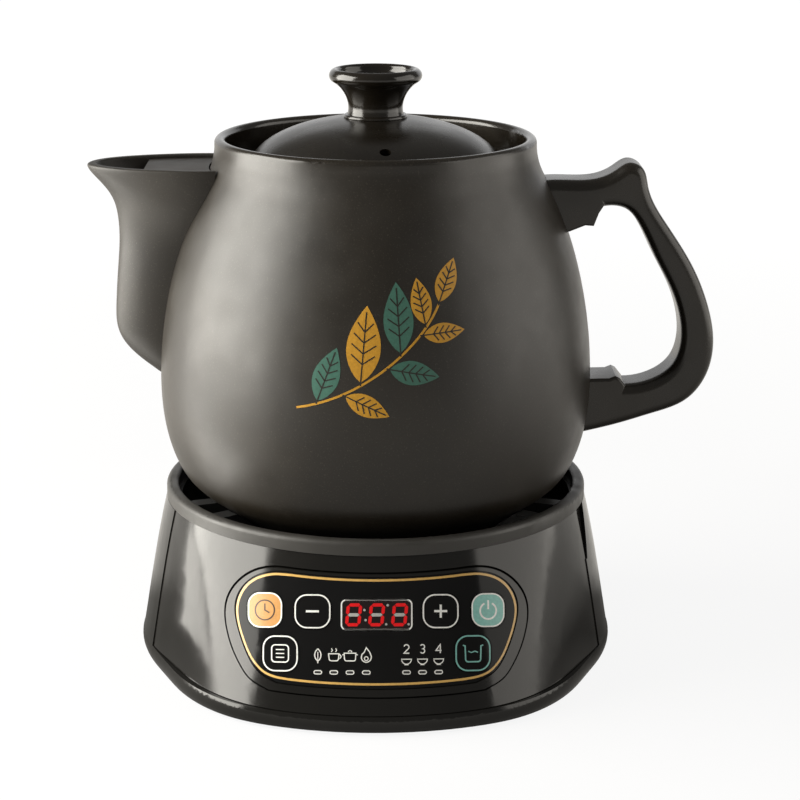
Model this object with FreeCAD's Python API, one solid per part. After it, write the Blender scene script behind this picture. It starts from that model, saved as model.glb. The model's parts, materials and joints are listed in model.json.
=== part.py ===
"""Electric herbal medicine pot: a stoneware pot with a lid on a heating base.

Millimetres, +Z up.  The origin is on the pot's axis at the underside of the
base's bottom plate.  The control panel faces -Y, the spout points to -X and
the handle to +X.  Every piece is one node in parts/.
"""
import FreeCAD, Part
import math
import os

os.makedirs("parts", exist_ok=True)

Vector = FreeCAD.Vector
UP = Vector(0, 0, 1)
FAR = 400.0  # longer than the whole object, for cutting tools

# ---------------------------------------------------------------- clearances
SEAT_GAP = 0.3   # between pieces that rest on or fit into each other
SHUT_LINE = 0.3  # between neighbouring covers
KEY_GAP = 0.25   # round a key in its hole
PIN_GAP = 0.1    # round a screw or a stem in its hole

# ------------------------------------------------------------- stoneware pot
# Heights in this block are above the pot's foot.
POT_H = 202.4       # to the crest of the rim
POT_WALL = 6.0
POT_FLOOR = 8.0
FOOT_R = 52.0       # flat foot
FLANK_R = 63.5      # lower wall, inside the well of the base
FLANK_H = 18.0
HEEL_R = 77.0
HEEL_H = 30.0
TURN_R = 90.0       # where the pot comes out of the well
TURN_H = 40.0
LOWER_BELLY_R = 97.8
LOWER_BELLY_H = 54.0
BELLY_R = 102.6     # widest
BELLY_H = 91.0
UPPER_BELLY_R = 98.5
UPPER_BELLY_H = 129.0
SHOULDER_R = 88.4
SHOULDER_H = 164.0
COLLAR_R = 78.6     # foot of the upright collar
COLLAR_H = 185.0
RIM_R = 75.2        # outside of the rim
MOUTH_R = 70.0      # inside of the rim
LEDGE_R = 60.0      # ledge that carries the lid
LEDGE_DEPTH = 19.5  # ledge below the rim
LEDGE_T = 6.0

# ---------------------------------------------------------------- spout
SPOUT_DROP = 12.6   # spout's rim below the pot's rim
SPOUT_WALL = 4.5
SPOUT_ROUND = 1.0
# depth below the spout's rim, reach past the belly, half width, nose length
SPOUT_SECTIONS = [
    (0.0, 32.3, 27.5, 58.0),
    (6.0, 28.8, 27.8, 54.0),
    (14.0, 22.2, 27.2, 46.0),
    (26.0, 18.6, 22.5, 38.0),
    (36.0, 18.3, 18.6, 32.0),
    (50.0, 19.4, 16.0, 28.0),
    (68.0, 20.8, 14.6, 26.0),
    (81.5, 19.6, 13.6, 24.0),
    (90.0, 14.0, 12.2, 21.0),
    (99.3, 3.0, 10.0, 17.0),
    (105.2, -7.0, 8.0, 14.0),
]
SPOUT_BACK_X = 50.0     # sections close inside the pot, then are cut to its wall
SPOUT_CHANNEL_ROWS = 8  # the channel follows this many sections
COVER_X = 5.0           # front edge of the covered part, past the belly
COVER_T = 3.5
COVER_SINK = 1.6
PORT_HALF_W = 11.0      # port through the pot's wall
PORT_LOW = 100.0        # above the pot's foot
PORT_HIGH = 150.0
STRAINER_T = 3.0
STRAINER_HOLE_R = 1.9
STRAINER_PITCH = 6.2
STRAINER_ROWS = 7

# ---------------------------------------------------------------- handle
HANDLE_T = 24.0
HANDLE_ROUND = 5.0
BRACKET_ROUND = 1.6
# x past the belly radius, height above the pot's foot
HANDLE_OUTER = [
    (-28.0, 181.6), (-12.0, 182.6), (1.0, 183.4), (9.0, 187.0), (15.5, 190.6),
    (21.5, 188.4), (24.6, 179.5), (33.0, 162.8), (46.8, 141.4), (55.0, 121.6),
    (58.0, 106.0), (55.4, 89.0), (46.0, 76.4), (30.0, 69.6), (14.0, 64.6), (-12.0, 58.4),
]
HANDLE_INNER = [
    (-20.0, 83.4), (-4.0, 84.0), (8.0, 84.4), (20.0, 84.4), (31.0, 87.6), (38.8, 94.0),
    (42.2, 103.6), (41.6, 116.0), (36.6, 131.2), (28.8, 146.0), (20.4, 162.4),
    (14.6, 168.8), (5.0, 170.2), (-2.0, 168.4), (-12.0, 165.4), (-28.0, 160.6),
]
UPPER_BRACKET = [
    (-28.0, 157.0), (-11.4, 158.8), (-4.6, 161.5), (-0.6, 161.2), (1.6, 167.2),
    (4.6, 172.0), (2.0, 176.0), (-28.0, 176.0),
]
LOWER_BRACKET = [
    (-20.0, 87.0), (8.6, 87.6), (11.6, 88.8), (13.6, 87.8), (16.6, 84.0),
    (14.0, 76.0), (-20.0, 76.0),
]

# ---------------------------------------------------------------- lid
LID_PLAY = 3.4          # lid's edge inside the rim
LID_EDGE_T = 4.0
LID_WALL = 4.6
LID_SKIRT_H = 4.0
LID_SKIRT_PLAY = 1.2    # skirt inside the ledge
DOME_SIDE_R = 59.3      # foot of the dome's steep side
DOME_H = 28.7           # dome's top above the lid's seat
STEAM_R = 2.6
STEAM_FROM_AXIS = 47.5
STEAM_ANGLE = 5.0       # from the front towards the handle
KNOB_NECK_R = 12.8
KNOB_NECK_H = 5.0
KNOB_RIM_R = 21.5       # widest
KNOB_RIM_H = 17.8
KNOB_H = 21.9           # crest above the dome
KNOB_CREST_R = 19.0
KNOB_DISH_R = 17.2      # inside of the dished top
KNOB_DISH = 7.0
KNOB_LIP_H = 1.8        # rounding between the crest and the dish
KNOB_BEAD_R = 0.9

# ---------------------------------------------------------------- base
WELL_GAP = 5.3          # between the pot's turn and the ring round the well
RING_W = 5.9
RING_H = 6.7
RING_ROUND = 2.4
RING_LIP = 0.7
WELL_DEPTH = 29.8       # housing's top above the pot's seat
HOUSING_TOP = 74.3
BAND_TOP = 7.5          # foot band, and the foot of the front cover
SIDE_FLARE = 12.7       # sides stand out this much at the band
SIDE_BOW = 0.88
FRONT_FLARE = 23.2      # front stands out this much at the band
ARC_FLARE = 37.8        # front arc's radius grows this much at the band
CORNER_START = 24.0     # the front arc blends into the round back
CORNER_END = 66.0
COVER_CORNER_START = 20.0
COVER_CORNER_END = 62.0
BAND_FLARE = 0.7
FOOT_TUCK = 0.9
SHELL_WALL = 2.8
BAND_WALL = 6.5
LEDGE_W = 2.0           # ledge for the well's flange
LEDGE_LIFT = 2.5        # ledge's top below the housing's top
LEDGE_H = 2.0
SEAM_ANGLE = 70.0       # front cover's side seams, from the front
NOTCH_W = 7.0           # finger notch behind the seam on the handle's side, degrees
NOTCH_LOW = 50.0
NOTCH_DEPTH = 1.6
COVER_INSET = 0.5       # front cover set back from the side shell
COVER_WALL = 3.6
OUTLINE_POINTS = 36

# control panel, in the plane of the sloping front
PANEL_LEVEL = 42.5
PANEL_INSET = 0.2       # plate below the front cover's face
PANEL_T = 2.0
# right half of two outlines, from the top edge round to the bottom edge
PLATE_EDGE = [
    (40.0, 65.8), (46.9, 64.9), (53.3, 62.5), (58.7, 58.3), (62.8, 52.3), (64.2, 46.0),
    (63.3, 40.2), (61.0, 33.8), (57.4, 26.9), (51.8, 21.4), (45.4, 19.1), (39.0, 18.8),
]
BEZEL_EDGE = [
    (40.0, 67.7), (47.2, 67.1), (54.0, 64.8), (60.4, 60.4), (65.4, 54.6), (68.2, 48.8),
    (69.1, 42.8), (68.1, 36.0), (65.5, 29.0), (61.3, 22.4), (55.9, 17.6), (49.6, 15.4),
    (42.0, 15.0),
]
BEZEL_GROOVE = 0.8      # round the bezel, in the front cover
BEZEL_PROUD = 0.4
KEY_TRAVEL = 0.6
KEY_FLANGE = 1.2
KEY_FLANGE_T = 1.0
KEY_PROUD = 0.15
KEY_CORNER = 6.2
KEY_STEM_R = 2.2
# name, across, up, width, height
KEYS = [
    ("key_timer", -50.0, 10.0, 16.6, 16.6),
    ("key_minus", -28.5, 9.6, 17.0, 16.0),
    ("key_plus", 28.5, 9.6, 17.0, 16.0),
    ("key_start", 50.0, 9.8, 16.0, 16.0),
    ("key_function", -43.0, -9.2, 16.8, 16.8),
    ("key_water", 43.0, -9.2, 16.8, 16.8),
]
WINDOW_UP = 8.1
WINDOW_W = 30.6
WINDOW_H = 13.4
WINDOW_CORNER = 2.0
WINDOW_LIP = 0.6        # the front cover carries the window's edge
LAMPS_ACROSS = [-26.1, -19.0, -11.8, -4.6, 13.2, 20.3, 27.5]
LAMP_UP = -17.3
LAMP_W = 4.2
LAMP_H = 2.2
LAMP_ROD_R = 1.0

# electronics
BOARD_DEPTH = 23.0      # control board behind the panel's middle
BOARD_T = 1.6
BOARD_HALF_W = 59.5
BOARD_LOW = -20.5
BOARD_HIGH = 14.0
BOSS_R = 3.0
BOARD_BOSSES = [(-22.0, -8.0), (22.0, -8.0), (-56.0, -5.0), (56.0, -5.0)]
SWITCH_W = 6.0
SWITCH_H = 3.5
PLUNGER_R = 1.7
PLUNGER_H = 0.8
LED_H = 1.0
BOARD_SCREW_R = 1.2
BOARD_SCREW_HEAD_R = 2.4
BOARD_SCREW_HEAD_H = 1.4
BOARD_SCREW_L = 2.6

# heater
HEATER_R = 49.5
HEATER_T = 9.0
HEATER_FLANGE_R = 56.0
HEATER_FLANGE_T = 3.0
BOWL_T = 1.5
BOWL_STEP = 1.2         # bowl's mouth inside the ring
BOWL_BEND_IN = 2.6      # upper bend of the bowl's wall, from its mouth
BOWL_BEND_DROP = 8.3
BOWL_SIDE_GAP = 10.5    # between the pot's flank and the bowl
BOWL_SIDE_DROP = 11.0
BOWL_RIM = 1.5          # flat floor outside the heater's flange
BOWL_DROP = 3.5         # bowl's floor below the pot's foot
PAD_ANGLES = [-125.5, -111.5, -68.5, -54.5, 54.5, 68.5, 111.5, 125.5]   # from the front
PAD_W = 8.0
PAD_GAP = 0.8           # between a pad and the pot
PAD_LOW = 16.0          # above the pot's foot
PAD_HIGH = 33.0
ELEMENT_R = 36.0
TUBE_R = 3.3
ELEMENT_ARC = 310.0
TERMINAL_L = 8.0
SHIELD_R = 58.0
SHIELD_LEVEL = 24.0
SHIELD_T = 0.8
SHIELD_RIM_H = 5.0
SHIELD_HOLE_R = 14.0
PROBE_R = 9.0
PROBE_CAP_H = 6.2
PROBE_STEM_R = 3.0
PROBE_CLIP_W = 1.3      # retaining clip on the stem
PROBE_CLIP_T = 1.0
BRIDGE_DROP = 7.0       # probe bracket below the heater
BRIDGE_T = 1.2
BRIDGE_HALF_L = 16.0
BRIDGE_W = 12.0
BRIDGE_EAR = 7.0
SPRING_R = 5.4
SPRING_WIRE_R = 0.45
SPRING_TURNS = 4
WIRE_SIDES = 8
CUTOFF_AT = 25.0        # thermal cut-out behind the probe
CUTOFF_L = 16.0
CUTOFF_W = 8.0
CUTOFF_H = 5.0

# bottom plate and what stands on it
PLATE_T = 2.5
POST_R = 5.0
POST_TIP_R = 3.2
POST_CIRCLE_R = 45.0
POST_ANGLES = [-90.0, 30.0, 150.0]
FOOT_PAD_R = 8.0
FOOT_PAD_PROUD = 1.5
FOOT_PAD_SINK = 1.0
FOOT_PAD_ANGLES = [-142.0, -38.0, 38.0, 142.0]   # from the front
FOOT_PAD_INSET = 26.0
SCREW_ANGLES = [-128.0, -52.0, 52.0, 128.0]
SCREW_INSET = 14.5
SCREW_R = 1.5
SCREW_HEAD_R = 3.4
SCREW_HEAD_H = 1.6
SCREW_L = 11.0
SCREW_BOSS_R = 4.5
SCREW_BOSS_TOP = 18.0
SCREW_WEB_T = 3.0
VENT_COUNT = 7
VENT_W = 3.0
VENT_L = 34.0
VENT_PITCH = 7.0
VENT_AT = 40.0          # vents lie behind the plate's middle, which stays flat
POWER_BOARD_HALF_L = 40.0
POWER_BOARD_NEAR = 64.0
POWER_BOARD_FAR = 92.0
POWER_BOARD_LIFT = 5.0
STANDOFF_R = 2.5
TRANSFORMER = (24.0, 18.0, 13.0)
RELAY = (19.0, 15.0, 12.0)

# mains inlet in the back wall
INLET_LEVEL = 31.0
INLET_HALF_W = 14.0
INLET_HALF_H = 10.5
INLET_WALL = 2.0
INLET_DEPTH = 15.5
INLET_BACK = 3.5
INLET_PROUD = 0.8
INLET_PIN_L = 10.5
INLET_PIN_W = 2.0
INLET_PIN_H = 5.0
INLET_TAB_L = 7.0
INLET_PINS = [(-7.0, -1.8), (7.0, -1.8), (0.0, 2.2)]

# ------------------------------------------------------------ derived levels
POT_SEAT = HOUSING_TOP - WELL_DEPTH
RIM_TOP = POT_SEAT + POT_H
WELL_R = TURN_R + WELL_GAP
BOWL_MOUTH_R = WELL_R - BOWL_STEP
TOP_R = WELL_R + RING_W
RING_BOTTOM = HOUSING_TOP + SHUT_LINE
LEDGE_TOP = HOUSING_TOP - LEDGE_LIFT
FLANGE_R = TOP_R - COVER_INSET - SHELL_WALL
LID_SEAT = RIM_TOP - LEDGE_DEPTH
LID_R = MOUTH_R - LID_PLAY
SPOUT_TOP = RIM_TOP - SPOUT_DROP
HEATER_TOP = POT_SEAT - SEAT_GAP
HEATER_BOTTOM = HEATER_TOP - HEATER_T
BOWL_FLOOR = POT_SEAT - BOWL_DROP
PANEL_TILT = math.degrees(math.atan(FRONT_FLARE / (HOUSING_TOP - BAND_TOP)))
BACK_Y = TOP_R + SIDE_FLARE


# ------------------------------------------------------------------- helpers
def export(node, shape):
    """Write one piece to its own STEP file."""
    shape.exportStep("parts/" + node + ".step")


def at(point):
    """A (radius, height) pair in the plane that is turned about the axis."""
    return Vector(point[0], 0, point[1])


def line(start, end):
    return Part.makeLine(at(start), at(end))


def arc(start, middle, end):
    return Part.Arc(at(start), at(middle), at(end)).toShape()


def spline(points):
    """Smooth curve through the points."""
    curve = Part.BSplineCurve()
    curve.interpolate(Points=[at(p) for p in points])
    return curve


def offset_points(curve, distance, count):
    """Points beside a curve in the turning plane, on its right for plus."""
    points = []
    for i in range(count):
        u = curve.FirstParameter + (curve.LastParameter - curve.FirstParameter) * i / (count - 1)
        where = curve.value(u)
        along = curve.tangent(u)[0]
        points.append((where.x + along.z * distance, where.z - along.x * distance))
    return points


def lathe(edges):
    """Turn a closed outline about the Z axis."""
    face = Part.Face(Part.Wire(Part.__sortEdges__(edges)))
    return face.revolve(Vector(0, 0, 0), UP, 360)


def disc(radius, low, high, x=0.0, y=0.0):
    return Part.makeCylinder(radius, high - low, Vector(x, y, low))


def block(x0, x1, y0, y1, z0, z1):
    return Part.makeBox(x1 - x0, y1 - y0, z1 - z0, Vector(x0, y0, z0))


def around(radius, angle):
    """Point at an angle from the front (-Y), turning towards the handle."""
    a = math.radians(angle)
    return Vector(radius * math.sin(a), -radius * math.cos(a), 0)


def rounded_block(width, height, corner, low, high):
    """Upright prism with rounded corners, centred on the axis."""
    shape = block(-width / 2, width / 2, -height / 2, height / 2, low, high)
    uprights = [e for e in shape.Edges if abs(e.tangentAt(e.FirstParameter).z) > 0.9]
    return shape.makeFillet(corner, uprights)


# --------------------------------------------------------- housing's surface
def smooth_step(value):
    value = min(max(value, 0.0), 1.0)
    return 3 * value ** 2 - 2 * value ** 3


def housing_radius(angle, level, corner):
    """Outline of the housing: a front arc blended into a round back."""
    drop = (HOUSING_TOP - level) / (HOUSING_TOP - BAND_TOP)
    side = TOP_R + SIDE_FLARE * drop ** SIDE_BOW
    front = TOP_R + FRONT_FLARE * drop
    arc_r = TOP_R + ARC_FLARE * drop
    back_off = arc_r - front
    a = math.radians(angle)
    front_here = -back_off * math.cos(a) + math.sqrt(arc_r ** 2 - (back_off * math.sin(a)) ** 2)
    start, end = corner
    blend = smooth_step((abs(angle) - start) / (end - start))
    return front_here + (side - front_here) * blend


def outline(level, inset, corner, height=None):
    """Closed smooth outline of the housing at a level, set in by the inset."""
    points = []
    for i in range(OUTLINE_POINTS):
        angle = -180 + 360 * i / OUTLINE_POINTS
        radius = housing_radius(angle, level, corner) - inset
        points.append(around(radius, angle) + UP * (level if height is None else height))
    curve = Part.BSplineCurve()
    curve.interpolate(Points=points, PeriodicFlag=True)
    return Part.Wire(curve.toShape())


SHELL_CORNER = (CORNER_START, CORNER_END)
COVER_CORNER = (COVER_CORNER_START, COVER_CORNER_END)


def body_loft(inset, corner, low=BAND_TOP, high=HOUSING_TOP):
    """Solid inside the housing's flank, between two levels."""
    levels = [low + (high - low) * i / 3 for i in range(4)]
    return Part.makeLoft([outline(level, inset, corner) for level in levels], True, False)


def skin(outer, inner):
    """Curved layer of the front, between two depths below the housing's flank."""
    low = BAND_TOP + SHUT_LINE
    return body_loft(outer, COVER_CORNER, low).cut(body_loft(inner, COVER_CORNER, low))


def front_wedge(shift):
    """Sector in front of the side seams, moved forward by the shift."""
    left = around(FAR, -SEAM_ANGLE)
    right = around(FAR, SEAM_ANGLE)
    corners = [Vector(0, 0, 0), left, Vector(left.x, -FAR, 0), Vector(right.x, -FAR, 0), right]
    moved = [c + Vector(0, -shift, BAND_TOP) for c in corners]
    face = Part.Face(Part.makePolygon(moved + moved[:1]))
    return face.extrude(UP * (HOUSING_TOP - BAND_TOP + 1))


# ------------------------------------------------------------ panel's plane
PANEL_TURN = FreeCAD.Rotation(Vector(1, 0, 0), 90 - PANEL_TILT)
PANEL_ORIGIN = around(housing_radius(0, PANEL_LEVEL, COVER_CORNER), 0) + UP * PANEL_LEVEL


def on_panel(shape, across=0.0, up=0.0):
    """Place a shape built on the XY plane: X across, Y up the slope, Z out."""
    shifted = shape.copy()
    shifted.translate(Vector(across, up, 0))
    shifted.Placement = FreeCAD.Placement(PANEL_ORIGIN, PANEL_TURN).multiply(shifted.Placement)
    return shifted


def level_ended(points):
    """Smooth curve through the points that leaves and arrives level."""
    curve = Part.BSplineCurve()
    curve.interpolate(Points=[at(p) for p in points], InitialTangent=Vector(1, 0, 0),
                      FinalTangent=Vector(-1, 0, 0))
    return curve


def panel_prism(half, inset):
    """Outline on the front, from its right half, swept back through the front."""
    points = half
    if inset:
        points = offset_points(level_ended(half), inset, len(half))
    side = level_ended(points).toShape()
    other = side.mirror(Vector(0, 0, 0), Vector(1, 0, 0))
    edges = [side, other]
    for x, level in (points[0], points[-1]):
        edges.append(line((-x, level), (x, level)))
    face = Part.Face(Part.Wire(Part.__sortEdges__(edges)))
    return face.extrude(Vector(0, -FAR, 0))


# ------------------------------------------------------------ stoneware pot
def pot_points(inset):
    """Outer profile of the pot's wall, set in by the inset."""
    profile = [
        (FLANK_R, FLANK_H), (HEEL_R, HEEL_H), (TURN_R, TURN_H), (LOWER_BELLY_R, LOWER_BELLY_H),
        (BELLY_R, BELLY_H), (UPPER_BELLY_R, UPPER_BELLY_H), (SHOULDER_R, SHOULDER_H),
    ]
    return [(radius - inset, POT_SEAT + height) for radius, height in profile]


def pot_side(inset=0.0):
    foot = (FOOT_R - inset, POT_SEAT)
    collar = (COLLAR_R - inset, POT_SEAT + COLLAR_H)
    return spline([foot] + pot_points(inset) + [collar])


def rim_edges():
    """Upright collar and the rounded rim, down to the mouth."""
    collar = (COLLAR_R, POT_SEAT + COLLAR_H)
    rim_half = (RIM_R - MOUTH_R) / 2
    outer = (RIM_R, RIM_TOP - rim_half)
    inner = (MOUTH_R, RIM_TOP - rim_half)
    middle = (RIM_R + (COLLAR_R - RIM_R) * 0.22, (collar[1] + outer[1]) / 2)
    return [arc(collar, middle, outer), arc(outer, (RIM_R - rim_half, RIM_TOP), inner)], inner


def pot_filled(inset=0.0):
    """The pot's outer form as one lump, for fitting pieces to its wall."""
    collar = (COLLAR_R - inset, POT_SEAT + COLLAR_H)
    top = (RIM_R - inset, RIM_TOP)
    return lathe([
        line((0, POT_SEAT), (FOOT_R - inset, POT_SEAT)), pot_side(inset).toShape(),
        line(collar, top), line(top, (0, RIM_TOP)), line((0, RIM_TOP), (0, POT_SEAT)),
    ])


def port(gap):
    """Round-ended slot through the pot's wall, behind the spout."""
    half_w = PORT_HALF_W - gap
    low = POT_SEAT + PORT_LOW + PORT_HALF_W
    high = POT_SEAT + PORT_HIGH - PORT_HALF_W
    shape = block(-FAR, 0, -half_w, half_w, low, high)
    for level in (low, high):
        shape = shape.fuse(Part.makeCylinder(half_w, FAR, Vector(0, 0, level), Vector(-1, 0, 0)))
    return shape.removeSplitter()


def pot_room():
    """Room inside the pot's wall, between its floor and the lid's ledge."""
    points = offset_points(pot_side(), -POT_WALL, 12)
    low, high = points[0], points[-1]
    room = lathe([
        spline(points).toShape(), line(high, (0, high[1])),
        line((0, high[1]), (0, low[1])), line((0, low[1]), low),
    ])
    return room.common(disc(FAR, POT_SEAT + POT_FLOOR, LID_SEAT - LEDGE_T))


def make_pot_body():
    rim, mouth = rim_edges()
    well = (LEDGE_R, LID_SEAT - LEDGE_T - 1)
    body = lathe([
        line((0, POT_SEAT), (FOOT_R, POT_SEAT)), pot_side().toShape(), *rim,
        line(mouth, (MOUTH_R, LID_SEAT)), line((MOUTH_R, LID_SEAT), (LEDGE_R, LID_SEAT)),
        line((LEDGE_R, LID_SEAT), well), line(well, (0, well[1])),
        line((0, well[1]), (0, POT_SEAT)),
    ])
    return body.cut(pot_room()).cut(port(0.0))


def make_strainer():
    """Perforated plate set in the port; it keeps the herbs in the pot."""
    depth = (POT_WALL - STRAINER_T) / 2
    plate = port(SEAT_GAP).common(pot_filled(depth).cut(pot_filled(depth + STRAINER_T)))
    middle = POT_SEAT + (PORT_LOW + PORT_HIGH) / 2
    row_step = STRAINER_PITCH * math.sqrt(3) / 2
    for row in range(STRAINER_ROWS):
        level = middle + (row - (STRAINER_ROWS - 1) / 2) * row_step
        count = 3 - row % 2
        for column in range(count):
            y = (column - (count - 1) / 2) * STRAINER_PITCH
            hole = Part.makeCylinder(STRAINER_HOLE_R, FAR, Vector(0, y, level), Vector(-1, 0, 0))
            plate = plate.cut(hole)
    return plate


def spout_section(level, reach, half_w, nose_l, wall):
    """Egg-shaped level section: a long nose in front, a round back inside."""
    nose = -BELLY_R - reach + wall
    centre = -BELLY_R - reach + nose_l
    back = -SPOUT_BACK_X
    points = []
    for i in range(16):
        turn = 2 * math.pi * i / 16
        length = centre - nose if math.cos(turn) > 0 else back - centre
        x = centre - length * math.cos(turn)
        points.append(Vector(x, (half_w - wall) * math.sin(turn), level))
    curve = Part.BSplineCurve()
    curve.interpolate(Points=points, PeriodicFlag=True)
    return Part.Wire(curve.toShape())


def make_spout():
    outer = [spout_section(SPOUT_TOP - row[0], *row[1:], 0.0) for row in SPOUT_SECTIONS]
    rows = SPOUT_SECTIONS[:SPOUT_CHANNEL_ROWS]
    inner = [spout_section(SPOUT_TOP - row[0], *row[1:], SPOUT_WALL) for row in rows]
    inner.insert(0, spout_section(SPOUT_TOP + SPOUT_WALL, *rows[0][1:], SPOUT_WALL))
    cover_top = SPOUT_TOP - COVER_SINK
    cover = block(-BELLY_R - COVER_X, 0, -FAR, FAR, cover_top - COVER_T, cover_top)
    channel = Part.makeLoft(inner, True, False).cut(cover)
    wall = pot_filled()
    wall.rotate(Vector(0, 0, 0), UP, 180)  # the turned surface's seam on the spout's side
    spout = Part.makeLoft(outer, True, False).cut(channel).cut(wall)
    rims = [e for e in spout.Edges
            if e.BoundBox.ZMin > SPOUT_TOP - 0.1 and e.BoundBox.XMin < -BELLY_R - COVER_X]
    return spout.makeFillet(SPOUT_ROUND, rims)


def handle_slab(edges, thickness, radius):
    """Flat slab from an outline in the handle's plane, with rounded long edges."""
    face = Part.Face(Part.Wire(Part.__sortEdges__(edges)))
    slab = face.extrude(Vector(0, thickness, 0))
    slab.translate(Vector(0, -thickness / 2, 0))
    rims = [e for e in slab.Edges
            if abs(abs(e.CenterOfMass.y) - thickness / 2) < 1e-6 and e.BoundBox.XMax > BELLY_R - 10]
    return slab.makeFillet(radius, rims)


def from_belly(points):
    return [(BELLY_R + x, POT_SEAT + height) for x, height in points]


def make_handle():
    outer = from_belly(HANDLE_OUTER)
    inner = from_belly(HANDLE_INNER)
    strap = handle_slab([
        spline(outer).toShape(), line(outer[-1], inner[0]),
        spline(inner).toShape(), line(inner[-1], outer[0]),
    ], HANDLE_T, HANDLE_ROUND)
    handle = strap
    for outline_points in (UPPER_BRACKET, LOWER_BRACKET):
        corners = from_belly(outline_points)
        edges = [line(corners[i - 1], corners[i]) for i in range(len(corners))]
        handle = handle.fuse(handle_slab(edges, HANDLE_T, BRACKET_ROUND))
    return handle.cut(pot_filled()).removeSplitter()


# ---------------------------------------------------------------- lid
DOME_FOOT = LID_SEAT + SEAT_GAP + LID_EDGE_T
DOME_TOP = LID_SEAT + DOME_H


def dome_height(radius):
    """Height of the dome's outside at a radius."""
    return DOME_FOOT + (DOME_TOP - DOME_FOOT) * math.sqrt(1 - (radius / DOME_SIDE_R) ** 2)


def dome_arc(thickness):
    """Quarter ellipse from the dome's top down to its foot."""
    rise = DOME_TOP - DOME_FOOT - thickness
    reach = DOME_SIDE_R - thickness
    turns = [math.pi / 2 * i / 8 for i in range(9)]
    points = [(reach * math.sin(turn), DOME_FOOT + rise * math.cos(turn)) for turn in turns]
    return spline(points).toShape(), points[0], points[-1]


def make_lid():
    outer, outer_top, outer_foot = dome_arc(0.0)
    inner, inner_top, inner_foot = dome_arc(LID_WALL)
    seat = LID_SEAT + SEAT_GAP
    skirt_r = LEDGE_R - LID_SKIRT_PLAY
    skirt_low = LID_SEAT - LID_SKIRT_H
    edge_r = LID_R
    corner = LID_EDGE_T / 2
    lid = lathe([
        outer, line(outer_foot, (edge_r - corner, DOME_FOOT)),
        arc((edge_r - corner, DOME_FOOT), (edge_r, seat + corner), (edge_r - corner, seat)),
        line((edge_r - corner, seat), (skirt_r, seat)), line((skirt_r, seat), (skirt_r, skirt_low)),
        line((skirt_r, skirt_low), (inner_foot[0], skirt_low)),
        line((inner_foot[0], skirt_low), inner_foot), inner, line(inner_top, outer_top),
    ])
    radius = STEAM_FROM_AXIS
    height = dome_height(radius)
    slope = (DOME_TOP - DOME_FOOT) ** 2 * radius / (DOME_SIDE_R ** 2 * (height - DOME_FOOT))
    outward = around(slope, STEAM_ANGLE) + UP
    outward.normalize()
    start = around(radius, STEAM_ANGLE) + UP * height - outward * LID_WALL * 2
    return lid.cut(Part.makeCylinder(STEAM_R, LID_WALL * 3, start, outward))


def make_knob():
    """Flared knob with a dished top; its neck ends in a bead on the dome."""
    flare_w = KNOB_RIM_R - KNOB_NECK_R
    flare_h = KNOB_RIM_H - KNOB_NECK_H
    base = (KNOB_NECK_R + KNOB_BEAD_R, DOME_TOP - KNOB_BEAD_R)
    neck = (KNOB_NECK_R, DOME_TOP + KNOB_NECK_H)
    throat = (KNOB_NECK_R + flare_w * 0.22, neck[1] + flare_h * 0.44)
    under = (KNOB_RIM_R - flare_w * 0.2, neck[1] + flare_h * 0.84)
    rim = (KNOB_RIM_R, DOME_TOP + KNOB_RIM_H)
    crest = (KNOB_CREST_R, DOME_TOP + KNOB_H)
    lip_w = KNOB_CREST_R - KNOB_DISH_R
    lip_turn = (crest[0] - lip_w * 0.72, crest[1] - KNOB_LIP_H * 0.32)
    lip = (KNOB_DISH_R, crest[1] - KNOB_LIP_H)
    wall_h = KNOB_DISH - KNOB_LIP_H
    wall = (KNOB_DISH_R * 0.92, lip[1] - wall_h * 0.56)
    floor_edge = (KNOB_DISH_R * 0.72, lip[1] - wall_h * 0.88)
    dish = (0.0, crest[1] - KNOB_DISH)
    dish_h = floor_edge[1] - dish[1]
    dish_r = (floor_edge[0] ** 2 + dish_h ** 2) / (2 * dish_h)
    dish_half = (floor_edge[0] / 2, dish[1] + dish_r - math.sqrt(dish_r ** 2 - floor_edge[0] ** 2 / 4))
    low = (base[0], DOME_TOP - KNOB_NECK_H)
    knob = lathe([
        spline([base, neck, throat, under]).toShape(), arc(under, rim, crest),
        arc(crest, lip_turn, lip), arc(lip, wall, floor_edge), arc(floor_edge, dish_half, dish),
        line(dish, (0, low[1])), line((0, low[1]), low), line(low, base),
    ])
    bead_level = dome_height(base[0]) + KNOB_BEAD_R * 0.5
    knob = knob.fuse(Part.makeTorus(base[0], KNOB_BEAD_R * 1.3, UP * bead_level))
    outer, top, foot = dome_arc(0.0)
    return knob.cut(lathe([outer, line(foot, (0, foot[1])), line((0, foot[1]), top)]))


# ---------------------------------------------------------------- housing
def make_ring():
    """Matt ring round the mouth of the well, with a spigot into the housing."""
    top = RING_BOTTOM + RING_H
    outer = (TOP_R, top - RING_ROUND)
    over = (TOP_R - RING_ROUND, top)
    diagonal = RING_ROUND * (1 - math.sqrt(0.5))
    inner_round = RING_ROUND * 0.7
    lip = (WELL_R + inner_round, top)
    inner = (WELL_R, top - inner_round)
    lip_diagonal = inner_round * (1 - math.sqrt(0.5))
    spigot = FLANGE_R - SEAT_GAP
    spigot_low = RING_BOTTOM - RING_LIP
    return lathe([
        line((TOP_R, RING_BOTTOM), outer), arc(outer, (TOP_R - diagonal, top - diagonal), over),
        line(over, lip), arc(lip, (WELL_R + lip_diagonal, top - lip_diagonal), inner),
        line(inner, (WELL_R, spigot_low)), line((WELL_R, spigot_low), (spigot, spigot_low)),
        line((spigot, spigot_low), (spigot, RING_BOTTOM)),
        line((spigot, RING_BOTTOM), (TOP_R, RING_BOTTOM)),
    ])


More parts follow.
